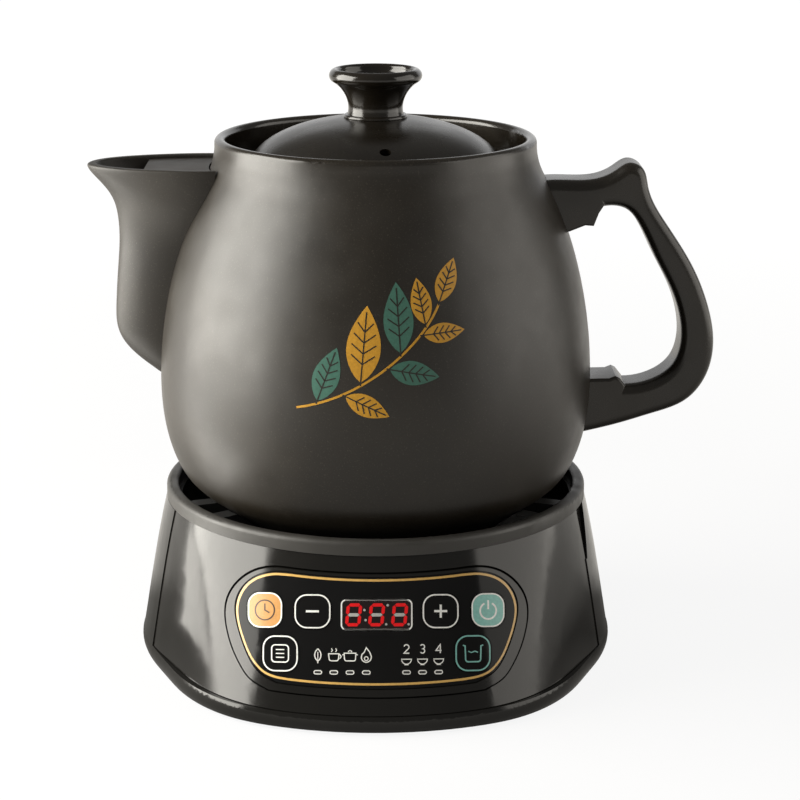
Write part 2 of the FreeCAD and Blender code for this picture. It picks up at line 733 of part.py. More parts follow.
def well_room():
    """Room that the well's flange and wall take at the top of the housing."""
    passage = disc(FLANGE_R - LEDGE_W, LEDGE_TOP - LEDGE_H - 1, HOUSING_TOP + 1)
    return passage.fuse(disc(FLANGE_R, LEDGE_TOP, HOUSING_TOP + 1))


def band_loft(inset, low, high):
    """Solid inside the foot band, which flares below the front cover."""
    foot = outline(BAND_TOP, inset - BAND_FLARE + FOOT_TUCK, SHELL_CORNER, low)
    middle = outline(BAND_TOP, inset - BAND_FLARE, SHELL_CORNER, (BAND_TOP * 0.35))
    top = outline(BAND_TOP, inset, SHELL_CORNER, high)
    return Part.makeLoft([foot, middle, top], True, False)


def in_from_band(angle, inset):
    """Place at an angle, set in from the outside of the foot band."""
    return around(housing_radius(angle, BAND_TOP, SHELL_CORNER) - inset, angle)


def screw_boss(angle):
    """Boss for a bottom screw with a web to the wall of the band, and its hole."""
    where = in_from_band(angle, SCREW_INSET)
    low = PLATE_T + SEAT_GAP
    boss = disc(SCREW_BOSS_R, low, SCREW_BOSS_TOP, where.x, where.y)
    web_l = SCREW_INSET - BAND_WALL + 1
    web = block(0, web_l, -SCREW_WEB_T / 2, SCREW_WEB_T / 2, low, BAND_TOP)
    web.rotate(Vector(0, 0, 0), UP, angle - 90)
    web.translate(where)
    hole = disc(SCREW_R, low - 1, SCREW_BOSS_TOP - 3, where.x, where.y)
    return boss.fuse(web), hole


def inlet_block(grow, y0, y1):
    half_w = INLET_HALF_W + grow
    half_h = INLET_HALF_H + grow
    return block(-half_w, half_w, y0, y1, INLET_LEVEL - half_h, INLET_LEVEL + half_h)


def finger_notch():
    """Flat recess behind a seam, wide at the top and tapering down to the seam."""
    corners = []
    for turn, level in ((-1.0, HOUSING_TOP), (NOTCH_W, HOUSING_TOP), (1.0, NOTCH_LOW), (-1.0, NOTCH_LOW)):
        angle = SEAM_ANGLE + turn
        radius = housing_radius(angle, level, SHELL_CORNER) - NOTCH_DEPTH
        corners.append(around(radius, angle) + UP * level)
    outward = around(NOTCH_DEPTH * 5, SEAM_ANGLE + NOTCH_W / 2)
    tip = corners[2]
    over = [c + outward for c in corners]
    faces = [Part.Face(Part.makePolygon(ends)) for ends in (
        [corners[0], corners[1], tip, corners[0]], [corners[0], tip, corners[3], corners[0]],
        [over[0], over[1], over[2], over[0]], [over[0], over[2], over[3], over[0]],
    )]
    for i in range(4):
        j = (i + 1) % 4
        faces.append(Part.Face(Part.makePolygon([corners[i], corners[j], over[j], over[i], corners[i]])))
    return Part.Solid(Part.Shell(faces))


def make_base_shell():
    flank = body_loft(0.0, SHELL_CORNER)
    hollow = body_loft(SHELL_WALL, SHELL_CORNER, BAND_TOP, LEDGE_TOP - LEDGE_H)
    shell = flank.cut(hollow).cut(well_room()).cut(front_wedge(0.0))
    band = band_loft(0.0, 0.0, BAND_TOP)
    inner_band = Part.makeLoft([outline(BAND_TOP, BAND_WALL, SHELL_CORNER, -1),
                                outline(BAND_TOP, BAND_WALL, SHELL_CORNER, BAND_TOP + 1)], True)
    shell = shell.fuse(band.cut(inner_band))
    for angle in SCREW_ANGLES:
        boss, hole = screw_boss(angle)
        shell = shell.fuse(boss).cut(hole)
    return shell.cut(finger_notch()).cut(inlet_block(SEAT_GAP, TOP_R - 20, FAR))


def make_front_cover():
    low = BAND_TOP + SHUT_LINE
    depth = COVER_INSET + COVER_WALL
    cover = body_loft(COVER_INSET, COVER_CORNER, low)
    cover = cover.cut(body_loft(depth, COVER_CORNER, low, LEDGE_TOP - LEDGE_H))
    cover = cover.cut(well_room()).common(front_wedge(SHUT_LINE / math.sin(math.radians(SEAM_ANGLE))))
    recess = skin(-5.0, COVER_INSET + PANEL_INSET + PANEL_T + SEAT_GAP)
    cover = cover.cut(recess.common(panel_prism(BEZEL_EDGE, 0.0)))
    cover = cover.cut(Part.makeCompound([key_prism(key, KEY_FLANGE + SEAT_GAP) for key in KEYS]))
    cover = cover.cut(window_prism(-WINDOW_LIP))
    for across in LAMPS_ACROSS:
        cover = cover.cut(panel_rod(LAMP_ROD_R + SEAT_GAP, across, LAMP_UP, -BOARD_DEPTH, FAR))
    for across, up in BOARD_BOSSES:
        boss = panel_rod(BOSS_R, across, up, -BOARD_DEPTH, 0)
        boss = boss.common(body_loft(depth - 0.5, COVER_CORNER, low))
        pilot = panel_rod(BOARD_SCREW_R, across, up, -BOARD_DEPTH, -BOARD_DEPTH + BOARD_SCREW_L)
        cover = cover.fuse(boss).cut(pilot)
    return cover.removeSplitter()


# ---------------------------------------------------------------- panel
def panel_rod(radius, across, up, back, front):
    """Round rod square to the panel, between two depths."""
    return on_panel(Part.makeCylinder(radius, front - back, Vector(0, 0, back)), across, up)


def panel_block(width, height, back, front, across=0.0, up=0.0):
    shape = block(-width / 2, width / 2, -height / 2, height / 2, back, front)
    return on_panel(shape, across, up)


def key_prism(key, grow):
    name, across, up, width, height = key
    shape = rounded_block(width + 2 * grow, height + 2 * grow, KEY_CORNER + grow, -BOARD_DEPTH, 20)
    return on_panel(shape, across, up)


def window_prism(grow):
    shape = rounded_block(WINDOW_W + 2 * grow, WINDOW_H + 2 * grow, WINDOW_CORNER + grow,
                          -BOARD_DEPTH, 20)
    return on_panel(shape, 0.0, WINDOW_UP)


def lamp_prism(across, grow):
    shape = rounded_block(LAMP_W + 2 * grow, LAMP_H + 2 * grow, LAMP_H / 2 + grow - 0.01,
                          -BOARD_DEPTH, 20)
    return on_panel(shape, across, LAMP_UP)


PLATE_FACE = COVER_INSET + PANEL_INSET
PLATE_BACK = PLATE_FACE + PANEL_T


def make_panel_plate():
    plate = skin(PLATE_FACE, PLATE_BACK).common(panel_prism(PLATE_EDGE, SHUT_LINE))
    holes = [key_prism(key, KEY_GAP) for key in KEYS] + [window_prism(SHUT_LINE)]
    holes += [lamp_prism(across, PIN_GAP) for across in LAMPS_ACROSS]
    return plate.cut(Part.makeCompound(holes))


def make_panel_bezel():
    """Raised rim round the panel plate."""
    rim = skin(COVER_INSET - BEZEL_PROUD, PLATE_BACK)
    return rim.common(panel_prism(BEZEL_EDGE, BEZEL_GROOVE)).cut(panel_prism(PLATE_EDGE, 0.0))


def make_key(key):
    """Key cap with a retaining flange behind the plate and a stem to its switch."""
    name, across, up, width, height = key
    cap = skin(PLATE_FACE - KEY_PROUD, PLATE_BACK + SEAT_GAP + KEY_FLANGE_T)
    flange = skin(PLATE_BACK + SEAT_GAP, PLATE_BACK + SEAT_GAP + KEY_FLANGE_T)
    cap = cap.common(key_prism(key, 0.0)).fuse(flange.common(key_prism(key, KEY_FLANGE)))
    foot = -BOARD_DEPTH + SWITCH_H + PLUNGER_H + KEY_TRAVEL + PIN_GAP
    stem = panel_rod(KEY_STEM_R, across, up, foot, 0)
    stem = stem.common(body_loft(PLATE_BACK, COVER_CORNER, BAND_TOP + SHUT_LINE))
    return cap.fuse(stem).removeSplitter()


def make_window():
    return skin(PLATE_FACE, PLATE_BACK).common(window_prism(0.0))


def make_lamps():
    """Small windows over the indicator lamps, each with its light pipe."""
    face = skin(PLATE_FACE, PLATE_BACK)
    lamps = []
    for across in LAMPS_ACROSS:
        pipe = panel_rod(LAMP_ROD_R, across, LAMP_UP, -BOARD_DEPTH + LED_H + SEAT_GAP, 0)
        pipe = pipe.common(body_loft(PLATE_BACK - 0.5, COVER_CORNER, BAND_TOP + SHUT_LINE))
        lamps.append(face.common(lamp_prism(across, 0.0)).fuse(pipe).removeSplitter())
    return Part.makeCompound(lamps)


# ------------------------------------------------------------- electronics
def make_control_board():
    middle = (BOARD_LOW + BOARD_HIGH) / 2
    board = panel_block(2 * BOARD_HALF_W, BOARD_HIGH - BOARD_LOW, -BOARD_DEPTH - BOARD_T,
                        -BOARD_DEPTH, 0.0, middle)
    for across, up in BOARD_BOSSES:
        board = board.cut(panel_rod(BOARD_SCREW_R + PIN_GAP, across, up, -BOARD_DEPTH - 5, 0))
    return board


def make_board_screws():
    screws = []
    for across, up in BOARD_BOSSES:
        back = -BOARD_DEPTH - BOARD_T
        shank = panel_rod(BOARD_SCREW_R - PIN_GAP, across, up, back, back + BOARD_T + BOARD_SCREW_L - 0.5)
        head = panel_rod(BOARD_SCREW_HEAD_R, across, up, back - BOARD_SCREW_HEAD_H, back)
        screws.append(shank.fuse(head))
    return Part.makeCompound(screws)


def make_switches():
    switches = []
    for name, across, up, width, height in KEYS:
        case = panel_block(SWITCH_W, SWITCH_W, -BOARD_DEPTH, -BOARD_DEPTH + SWITCH_H, across, up)
        top = -BOARD_DEPTH + SWITCH_H
        switches.append(case.fuse(panel_rod(PLUNGER_R, across, up, top, top + PLUNGER_H)))
    return Part.makeCompound(switches)


def make_leds():
    leds = [panel_block(LAMP_ROD_R * 2, LAMP_ROD_R * 2, -BOARD_DEPTH, -BOARD_DEPTH + LED_H,
                        across, LAMP_UP) for across in LAMPS_ACROSS]
    return Part.makeCompound(leds)


def make_display():
    """Three-digit display that stands on the board behind its window."""
    room = body_loft(PLATE_BACK + SEAT_GAP, COVER_CORNER, BAND_TOP + SHUT_LINE)
    return window_prism(-WINDOW_LIP - SEAT_GAP).common(room)


# ---------------------------------------------------------------- well
def bowl_side():
    """Inside of the well's bowl, from its mouth down to its flat floor."""
    return spline([
        (BOWL_MOUTH_R, LEDGE_TOP + SEAT_GAP),
        (BOWL_MOUTH_R - BOWL_BEND_IN, LEDGE_TOP - BOWL_BEND_DROP),
        (FLANK_R + BOWL_SIDE_GAP, POT_SEAT + FLANK_H - BOWL_SIDE_DROP),
        (HEATER_FLANGE_R + BOWL_RIM, BOWL_FLOOR),
    ])


def make_bowl():
    """Pressed bowl with a flange on the housing's ledge and a hole for the heater."""
    inside = bowl_side()
    under = offset_points(inside, -BOWL_T, 9)
    flange_low = LEDGE_TOP + SEAT_GAP
    flange_top = RING_BOTTOM - RING_LIP - SEAT_GAP
    flange_r = FLANGE_R - SEAT_GAP
    hole = HEATER_R + SEAT_GAP
    floor_edge = (HEATER_FLANGE_R + BOWL_RIM, BOWL_FLOOR)
    start = (under[0][0], flange_low)
    floor_low = (under[-1][0], BOWL_FLOOR - BOWL_T)
    outside = spline([start] + under[1:-1] + [floor_low])
    return lathe([
        inside.toShape(), line(floor_edge, (hole, BOWL_FLOOR)),
        line((hole, BOWL_FLOOR), (hole, BOWL_FLOOR - BOWL_T)),
        line((hole, BOWL_FLOOR - BOWL_T), floor_low), outside.toShape(),
        line(start, (flange_r, flange_low)), line((flange_r, flange_low), (flange_r, flange_top)),
        line((flange_r, flange_top), (BOWL_MOUTH_R, flange_top)),
        line((BOWL_MOUTH_R, flange_top), (BOWL_MOUTH_R, flange_low)),
    ])


def make_pads():
    """Ribs on the bowl's wall that centre the pot."""
    low = POT_SEAT + PAD_LOW
    high = POT_SEAT + PAD_HIGH
    mouth = (BOWL_MOUTH_R, LEDGE_TOP + SEAT_GAP)
    room = lathe([
        bowl_side().toShape(), line(mouth, (BOWL_MOUTH_R, high)), line((BOWL_MOUTH_R, high), (0, high)),
        line((0, high), (0, BOWL_FLOOR)),
        line((0, BOWL_FLOOR), (HEATER_FLANGE_R + BOWL_RIM, BOWL_FLOOR)),
    ])
    space = room.cut(pot_filled(-PAD_GAP))
    pads = []
    for angle in PAD_ANGLES:
        slab = block(0, FAR, -PAD_W / 2, PAD_W / 2, low, high + 1)
        slab.rotate(Vector(0, 0, 0), UP, angle - 90)
        pads.append(space.common(slab))
    return Part.makeCompound(pads)


def make_heater():
    """Cast hot plate with a groove for its element and a hole for the probe."""
    plate = disc(HEATER_R, HEATER_BOTTOM, HEATER_TOP)
    plate = plate.makeChamfer(0.8, [e for e in plate.Edges if e.BoundBox.ZMin > HEATER_TOP - 0.1])
    flange_top = BOWL_FLOOR - BOWL_T - SEAT_GAP
    plate = plate.fuse(disc(HEATER_FLANGE_R, flange_top - HEATER_FLANGE_T, flange_top))
    plate = plate.cut(disc(PROBE_R + SEAT_GAP, HEATER_BOTTOM - 1, HEATER_TOP + 1))
    groove = Part.makeTorus(ELEMENT_R, TUBE_R + PIN_GAP, UP * HEATER_BOTTOM)
    return plate.cut(groove).removeSplitter()


def make_element():
    """Tubular element half sunk in the plate, with two terminals."""
    half = ELEMENT_ARC / 2
    ring = Part.makeTorus(ELEMENT_R, TUBE_R, Vector(0, 0, 0), UP, 0, 360, ELEMENT_ARC)
    ring.rotate(Vector(0, 0, 0), UP, 90 - half)
    ring.translate(UP * HEATER_BOTTOM)
    for side in (-1, 1):
        foot = around(ELEMENT_R, side * (180 - half))
        ring = ring.fuse(disc(TUBE_R * 0.6, HEATER_BOTTOM - TERMINAL_L, HEATER_BOTTOM, foot.x, foot.y))
    return ring


def make_cutoff():
    return block(-CUTOFF_L / 2, CUTOFF_L / 2, CUTOFF_AT - CUTOFF_W / 2, CUTOFF_AT + CUTOFF_W / 2,
                 HEATER_BOTTOM - SEAT_GAP - CUTOFF_H, HEATER_BOTTOM - SEAT_GAP)


def bridge_levels():
    top = HEATER_BOTTOM - BRIDGE_DROP
    return top - BRIDGE_T, top


def make_probe_bridge():
    """Bracket under the heater that guides the probe's stem."""
    low, top = bridge_levels()
    seat = HEATER_BOTTOM - SEAT_GAP
    half = BRIDGE_HALF_L
    w = BRIDGE_W / 2
    bridge = block(-half, half, -w, w, low, top)
    for side in (-1, 1):
        leg = sorted((side * half, side * (half - BRIDGE_T)))
        ear = sorted((side * (half - BRIDGE_T), side * (half + BRIDGE_EAR)))
        bridge = bridge.fuse(block(leg[0], leg[1], -w, w, low, seat))
        bridge = bridge.fuse(block(ear[0], ear[1], -w, w, seat - BRIDGE_T, seat))
    return bridge.cut(disc(PROBE_STEM_R + PIN_GAP, low - 1, top + 1)).removeSplitter()


def make_probe():
    """Probe that the pot presses on; its clip stops it under the bracket."""
    low, top = bridge_levels()
    cap = disc(PROBE_R, HEATER_TOP - PROBE_CAP_H, HEATER_TOP)
    cap = cap.makeFillet(1.0, [e for e in cap.Edges if e.BoundBox.ZMin > HEATER_TOP - 0.1])
    clip_top = low - SEAT_GAP
    stem = disc(PROBE_STEM_R, clip_top - PROBE_CLIP_T - 0.3, HEATER_TOP - PROBE_CAP_H)
    clip = disc(PROBE_STEM_R + PROBE_CLIP_W, clip_top - PROBE_CLIP_T, clip_top)
    return cap.fuse(stem).fuse(clip).removeSplitter()


def make_spring():
    """Open coil between the bracket and the probe's cap."""
    low, top = bridge_levels()
    start = top + SPRING_WIRE_R + PIN_GAP
    height = HEATER_TOP - PROBE_CAP_H - SPRING_WIRE_R - PIN_GAP - start
    helix = Part.makeHelix(height / SPRING_TURNS, height, SPRING_R)
    turns = [2 * math.pi * i / WIRE_SIDES for i in range(WIRE_SIDES)]
    corners = [at((SPRING_R + SPRING_WIRE_R * math.cos(turn), SPRING_WIRE_R * math.sin(turn)))
               for turn in turns]
    section = Part.makePolygon(corners + corners[:1])
    coil = Part.Wire(helix).makePipeShell([section], True, True)
    coil.translate(UP * start)
    return coil


def make_shield():
    """Dished reflector between the heater and the electronics."""
    low = SHIELD_LEVEL + SEAT_GAP
    rim = (SHIELD_R + SHIELD_RIM_H * 0.6, low + SHIELD_RIM_H)
    inner_rim = (rim[0] - SHIELD_T, rim[1])
    dish = lathe([
        line((SHIELD_HOLE_R, low), (SHIELD_R, low)), line((SHIELD_R, low), rim),
        line(rim, inner_rim), line(inner_rim, (SHIELD_R - SHIELD_T, low + SHIELD_T)),
        line((SHIELD_R - SHIELD_T, low + SHIELD_T), (SHIELD_HOLE_R, low + SHIELD_T)),
        line((SHIELD_HOLE_R, low + SHIELD_T), (SHIELD_HOLE_R, low)),
    ])
    for angle in POST_ANGLES:
        a = math.radians(angle)
        x = POST_CIRCLE_R * math.cos(a)
        y = POST_CIRCLE_R * math.sin(a)
        dish = dish.cut(disc(POST_TIP_R + SEAT_GAP, low - 1, low + 2, x, y))
    return dish


# ------------------------------------------------------------ bottom plate
def foot_pad_places():
    return [in_from_band(angle, FOOT_PAD_INSET) for angle in FOOT_PAD_ANGLES]


def screw_places():
    return [in_from_band(angle, SCREW_INSET) for angle in SCREW_ANGLES]


def make_bottom_plate():
    gap = BAND_WALL + SHUT_LINE
    plate = Part.makeLoft([outline(BAND_TOP, gap, SHELL_CORNER, 0),
                           outline(BAND_TOP, gap, SHELL_CORNER, PLATE_T)], True)
    for angle in POST_ANGLES:
        a = math.radians(angle)
        x = POST_CIRCLE_R * math.cos(a)
        y = POST_CIRCLE_R * math.sin(a)
        plate = plate.fuse(disc(POST_R, 0.5, SHIELD_LEVEL, x, y))
        plate = plate.fuse(disc(POST_TIP_R, SHIELD_LEVEL - 1, HEATER_BOTTOM - SEAT_GAP, x, y))
    for x, y in power_board_posts():
        plate = plate.fuse(disc(STANDOFF_R, 0.5, PLATE_T + POWER_BOARD_LIFT, x, y))
    for where in foot_pad_places():
        plate = plate.cut(disc(FOOT_PAD_R + SEAT_GAP, -1, FOOT_PAD_SINK, where.x, where.y))
        plate = plate.fuse(disc(FOOT_PAD_R + 2, FOOT_PAD_SINK, PLATE_T + 1, where.x, where.y))
    for where in screw_places():
        plate = plate.cut(disc(SCREW_R + PIN_GAP, -1, PLATE_T + 1, where.x, where.y))
        plate = plate.cut(disc(SCREW_HEAD_R + SEAT_GAP, -1, SCREW_HEAD_H, where.x, where.y))
    for i in range(VENT_COUNT):
        x = (i - (VENT_COUNT - 1) / 2) * VENT_PITCH
        slot = block(x - VENT_W / 2, x + VENT_W / 2, VENT_AT - VENT_L / 2, VENT_AT + VENT_L / 2,
                     -1, PLATE_T + 1)
        plate = plate.cut(slot)
    return plate.removeSplitter()


def make_feet():
    feet = []
    for where in foot_pad_places():
        foot = disc(FOOT_PAD_R, -FOOT_PAD_PROUD, FOOT_PAD_SINK, where.x, where.y)
        feet.append(foot)
    return Part.makeCompound(feet)


def make_screws():
    screws = []
    for where in screw_places():
        head = disc(SCREW_HEAD_R, SCREW_HEAD_H - 1.2, SCREW_HEAD_H, where.x, where.y)
        shank = disc(SCREW_R - PIN_GAP, SCREW_HEAD_H, SCREW_L, where.x, where.y)
        slot = block(where.x - SCREW_HEAD_R * 0.6, where.x + SCREW_HEAD_R * 0.6,
                     where.y - 0.4, where.y + 0.4, 0, SCREW_HEAD_H - 0.6)
        cross = slot.copy()
        cross.rotate(where, UP, 90)
        screws.append(head.fuse(shank).cut(slot).cut(cross).removeSplitter())
    return Part.makeCompound(screws)


# ------------------------------------------------------------- power board
def power_board_posts():
    x = POWER_BOARD_HALF_L - 5
    return [(side * x, y) for side in (-1, 1) for y in (POWER_BOARD_NEAR + 5, POWER_BOARD_FAR - 5)]


POWER_BOARD_LOW = PLATE_T + POWER_BOARD_LIFT
POWER_BOARD_TOP = POWER_BOARD_LOW + BOARD_T


def make_power_board():
    return block(-POWER_BOARD_HALF_L, POWER_BOARD_HALF_L, POWER_BOARD_NEAR, POWER_BOARD_FAR,
                 POWER_BOARD_LOW, POWER_BOARD_TOP)


def board_part(size, x):
    """Boxy component on the power board, with eased upright edges."""
    part = rounded_block(size[0], size[1], 1.0, POWER_BOARD_TOP, POWER_BOARD_TOP + size[2])
    part.translate(Vector(x, (POWER_BOARD_NEAR + POWER_BOARD_FAR) / 2, 0))
    return part


# ------------------------------------------------------------- mains inlet
INLET_FACE = BACK_Y + INLET_PROUD - SIDE_FLARE * (INLET_LEVEL - BAND_TOP) / (HOUSING_TOP - BAND_TOP)


def make_inlet():
    """Appliance inlet: an open box set in the back wall."""
    back = INLET_FACE - INLET_DEPTH - INLET_BACK
    body = inlet_block(0.0, back, INLET_FACE)
    body = body.cut(inlet_block(-INLET_WALL, INLET_FACE - INLET_DEPTH, INLET_FACE + 1))
    return body.cut(Part.makeCompound(inlet_pins(PIN_GAP)))


def inlet_pins(grow):
    pins = []
    tip = INLET_FACE - INLET_DEPTH + INLET_PIN_L
    tab = INLET_FACE - INLET_DEPTH - INLET_BACK - INLET_TAB_L
    half_w = INLET_PIN_W / 2 + grow
    half_h = INLET_PIN_H / 2 + grow
    for x, up in INLET_PINS:
        level = INLET_LEVEL + up
        pins.append(block(x - half_w, x + half_w, tab, tip, level - half_h, level + half_h))
    return pins


# ------------------------------------------------------------------- export
export("pot_body", make_pot_body())
export("spout_strainer", make_strainer())
export("pot_spout", make_spout())
export("pot_handle", make_handle())
export("lid", make_lid())
export("lid_knob", make_knob())
export("top_ring", make_ring())
export("base_shell", make_base_shell())
export("front_cover", make_front_cover())
export("panel_plate", make_panel_plate())
export("panel_bezel", make_panel_bezel())
for each_key in KEYS:
    export(each_key[0], make_key(each_key))
export("display_window", make_window())
export("indicator_lenses", make_lamps())
export("control_board", make_control_board())
export("board_screws", make_board_screws())
export("tact_switches", make_switches())
export("indicator_leds", make_leds())
export("display_module", make_display())
export("heating_bowl", make_bowl())
export("centring_pads", make_pads())
export("heater_plate", make_heater())
export("heating_element", make_element())
export("thermal_cutoff", make_cutoff())
export("probe_bridge", make_probe_bridge())
export("temperature_probe", make_probe())
export("probe_spring", make_spring())
export("heat_shield", make_shield())
export("bottom_plate", make_bottom_plate())
export("rubber_feet", make_feet())
export("base_screws", make_screws())
export("power_board", make_power_board())
export("transformer", board_part(TRANSFORMER, -22.0))
export("relay", board_part(RELAY, 20.0))
export("inlet_housing", make_inlet())
export("inlet_pins", Part.makeCompound(inlet_pins(0.0)))
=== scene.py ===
"""Looks of the electric herbal medicine pot: finishes, prints, light and camera.

Metres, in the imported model's frame: +Z up on the pot's axis, the control panel
towards -Y, the spout towards -X and the handle towards +X.
"""
import json
import math

import bpy
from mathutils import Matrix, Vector
from mathutils.bvhtree import BVHTree


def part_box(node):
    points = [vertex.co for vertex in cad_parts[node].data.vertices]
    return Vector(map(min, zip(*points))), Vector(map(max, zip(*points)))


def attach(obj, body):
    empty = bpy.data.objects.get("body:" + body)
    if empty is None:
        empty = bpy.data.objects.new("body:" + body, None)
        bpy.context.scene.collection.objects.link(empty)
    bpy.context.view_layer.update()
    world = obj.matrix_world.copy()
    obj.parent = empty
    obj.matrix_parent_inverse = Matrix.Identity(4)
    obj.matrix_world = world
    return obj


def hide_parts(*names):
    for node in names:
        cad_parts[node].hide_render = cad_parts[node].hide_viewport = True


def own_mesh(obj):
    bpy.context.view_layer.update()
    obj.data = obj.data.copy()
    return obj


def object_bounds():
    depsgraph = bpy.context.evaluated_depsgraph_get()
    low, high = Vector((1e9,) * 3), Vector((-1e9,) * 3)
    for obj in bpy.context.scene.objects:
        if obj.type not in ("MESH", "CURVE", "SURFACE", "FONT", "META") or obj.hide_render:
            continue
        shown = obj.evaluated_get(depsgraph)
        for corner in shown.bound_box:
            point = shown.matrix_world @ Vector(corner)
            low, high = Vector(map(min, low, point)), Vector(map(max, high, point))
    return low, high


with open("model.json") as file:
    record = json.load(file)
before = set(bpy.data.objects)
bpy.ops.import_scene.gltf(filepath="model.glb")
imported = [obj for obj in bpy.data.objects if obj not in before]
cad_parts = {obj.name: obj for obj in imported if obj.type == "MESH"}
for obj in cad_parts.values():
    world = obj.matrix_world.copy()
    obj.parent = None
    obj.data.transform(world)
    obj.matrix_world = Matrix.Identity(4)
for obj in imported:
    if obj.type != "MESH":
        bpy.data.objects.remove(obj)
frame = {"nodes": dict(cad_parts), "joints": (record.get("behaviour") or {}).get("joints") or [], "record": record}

cad_low, cad_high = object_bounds()
MM = 0.001

# ------------------------------------------------------------------ colours
GLAZE_DARK = (0.0085, 0.0064, 0.0040)
GLAZE_LIGHT = (0.0150, 0.0118, 0.0078)
GLOSS_BLACK = (0.0070, 0.0066, 0.0058)
FILM_BLACK = (0.0065, 0.0065, 0.0066)
RING_DARK = (0.0260, 0.0245, 0.0220)
WHITE_INK = (0.90, 0.90, 0.87)
PALE_INK = (0.45, 0.45, 0.43)
GOLD_INK = (0.72, 0.44, 0.13)
AMBER_INK = (0.60, 0.29, 0.075)
TEAL_INK = (0.22, 0.52, 0.47)
LEAF_TEAL = (0.050, 0.150, 0.110)
LEAF_OCHRE = (0.600, 0.300, 0.025)
BROWN_INK = (0.05, 0.020, 0.006)
LIT_RED = (0.56, 0.004, 0.006)
VEIN_BROWN = (0.012, 0.010, 0.007)
SPECK_PALE = (0.075, 0.066, 0.052)
WHITE = (1, 1, 1)
WARM_KEY = (1.0, 0.970, 0.895)
WARM_FILL = (1.0, 0.955, 0.88)
WARM_WORLD = (1.0, 0.975, 0.93)
WARM_MIRRORED = (1.0, 0.96, 0.89)


# ---------------------------------------------------------------- materials
def shader(name, colour, roughness, **sockets):
    """A Principled material; the rest of its sockets by name."""
    material = bpy.data.materials.new(name)
    material.use_nodes = True
    bsdf = material.node_tree.nodes["Principled BSDF"]
    bsdf.inputs["Base Color"].default_value = (*colour, 1)
    bsdf.inputs["Roughness"].default_value = roughness
    for socket, value in sockets.items():
        bsdf.inputs[socket.replace("_", " ")].default_value = value
    return material, bsdf


def noise(material, scale, detail=3.0, stretch=(1, 1, 1)):
    """Noise in the object's own space, in features per metre."""
    nodes, links = material.node_tree.nodes, material.node_tree.links
    place = nodes.new("ShaderNodeTexCoord")
    mapping = nodes.new("ShaderNodeMapping")
    mapping.inputs["Scale"].default_value = stretch
    texture = nodes.new("ShaderNodeTexNoise")
    texture.inputs["Scale"].default_value = scale
    texture.inputs["Detail"].default_value = detail
    links.new(place.outputs["Object"], mapping.inputs["Vector"])
    links.new(mapping.outputs["Vector"], texture.inputs["Vector"])
    return texture.outputs["Fac"]


def spread(material, value, low, high, start=0.35, end=0.65):
    """Value between start and end stretched to the range from low to high."""
    node = material.node_tree.nodes.new("ShaderNodeMapRange")
    ends = {"From Min": start, "From Max": end, "To Min": low, "To Max": high}
    for socket, number in ends.items():
        node.inputs[socket].default_value = number
    material.node_tree.links.new(value, node.inputs["Value"])
    return node.outputs["Result"]


def mix(material, factor, first, second):
    """Colour between two, each a constant or another node's output."""
    node = material.node_tree.nodes.new("ShaderNodeMix")
    node.data_type = "RGBA"
    material.node_tree.links.new(factor, node.inputs["Factor"])
    for socket, colour in (("A", first), ("B", second)):
        target = [s for s in node.inputs if s.name == socket and s.type == "RGBA"][0]
        if isinstance(colour, tuple):
            target.default_value = (*colour, 1)
        else:
            material.node_tree.links.new(colour, target)
    return [s for s in node.outputs if s.type == "RGBA"][0]


def bump(material, bsdf, height, depth, strength):
    """Relief of the given depth in metres."""
    node = material.node_tree.nodes.new("ShaderNodeBump")
    node.inputs["Strength"].default_value = strength
    node.inputs["Distance"].default_value = depth
    material.node_tree.links.new(height, node.inputs["Height"])
    material.node_tree.links.new(node.outputs["Normal"], bsdf.inputs["Normal"])


def link(material, output, bsdf, socket):
    material.node_tree.links.new(output, bsdf.inputs[socket])


def calculate(material, operation, first, second):
    """Two values taken together by a math node; each is a number or another node's output."""
    node = material.node_tree.nodes.new("ShaderNodeMath")
    node.operation = operation
    for socket, value in zip(node.inputs, (first, second)):
        if isinstance(value, (int, float)):
            socket.default_value = value
        else:
            material.node_tree.links.new(value, socket)
    return node.outputs[0]


def place_in(material):
    """The object's own X, Y and Z, as three outputs."""
    nodes = material.node_tree.nodes
    place = nodes.new("ShaderNodeTexCoord")
    split = nodes.new("ShaderNodeSeparateXYZ")
    material.node_tree.links.new(place.outputs["Object"], split.inputs[0])
    return [split.outputs[axis] for axis in "XYZ"]


def length_of(material, across, along):
    """Length of a flat vector."""
    squares = [calculate(material, "POWER", value, 2) for value in (across, along)]
    return calculate(material, "SQRT", calculate(material, "ADD", *squares), 0)


INSIDE_SMOOTHER = 0.45         # roughness inside the mouth as a share of the wall's
MOUTH_EDGE = (0.0742, 0.0758)  # the rim's crest, from the axis
MOUTH_LEVEL = (0.200, 0.206)   # the collar's height, where the share sets in


def inside_share(material):
    """Share of the roughness: less inside the mouth and on the rim's crest."""
    across, along, level = place_in(material)
    reach = length_of(material, across, along)
    outer = spread(material, reach, INSIDE_SMOOTHER, 1.0, *MOUTH_EDGE)
    lower = spread(material, level, 1.0, INSIDE_SMOOTHER, *MOUTH_LEVEL)
    return calculate(material, "MAXIMUM", outer, lower)


# features per metre
GLAZE_CLOUDS, GLAZE_SPECKS, GLAZE_SHEEN, GLAZE_GRAIN = 22, 1500, 60, 1900
PLASTIC_CLOUDS, PLASTIC_SHEEN = 30, 90
METAL_GRAIN = 700
INK_GRAIN = 900


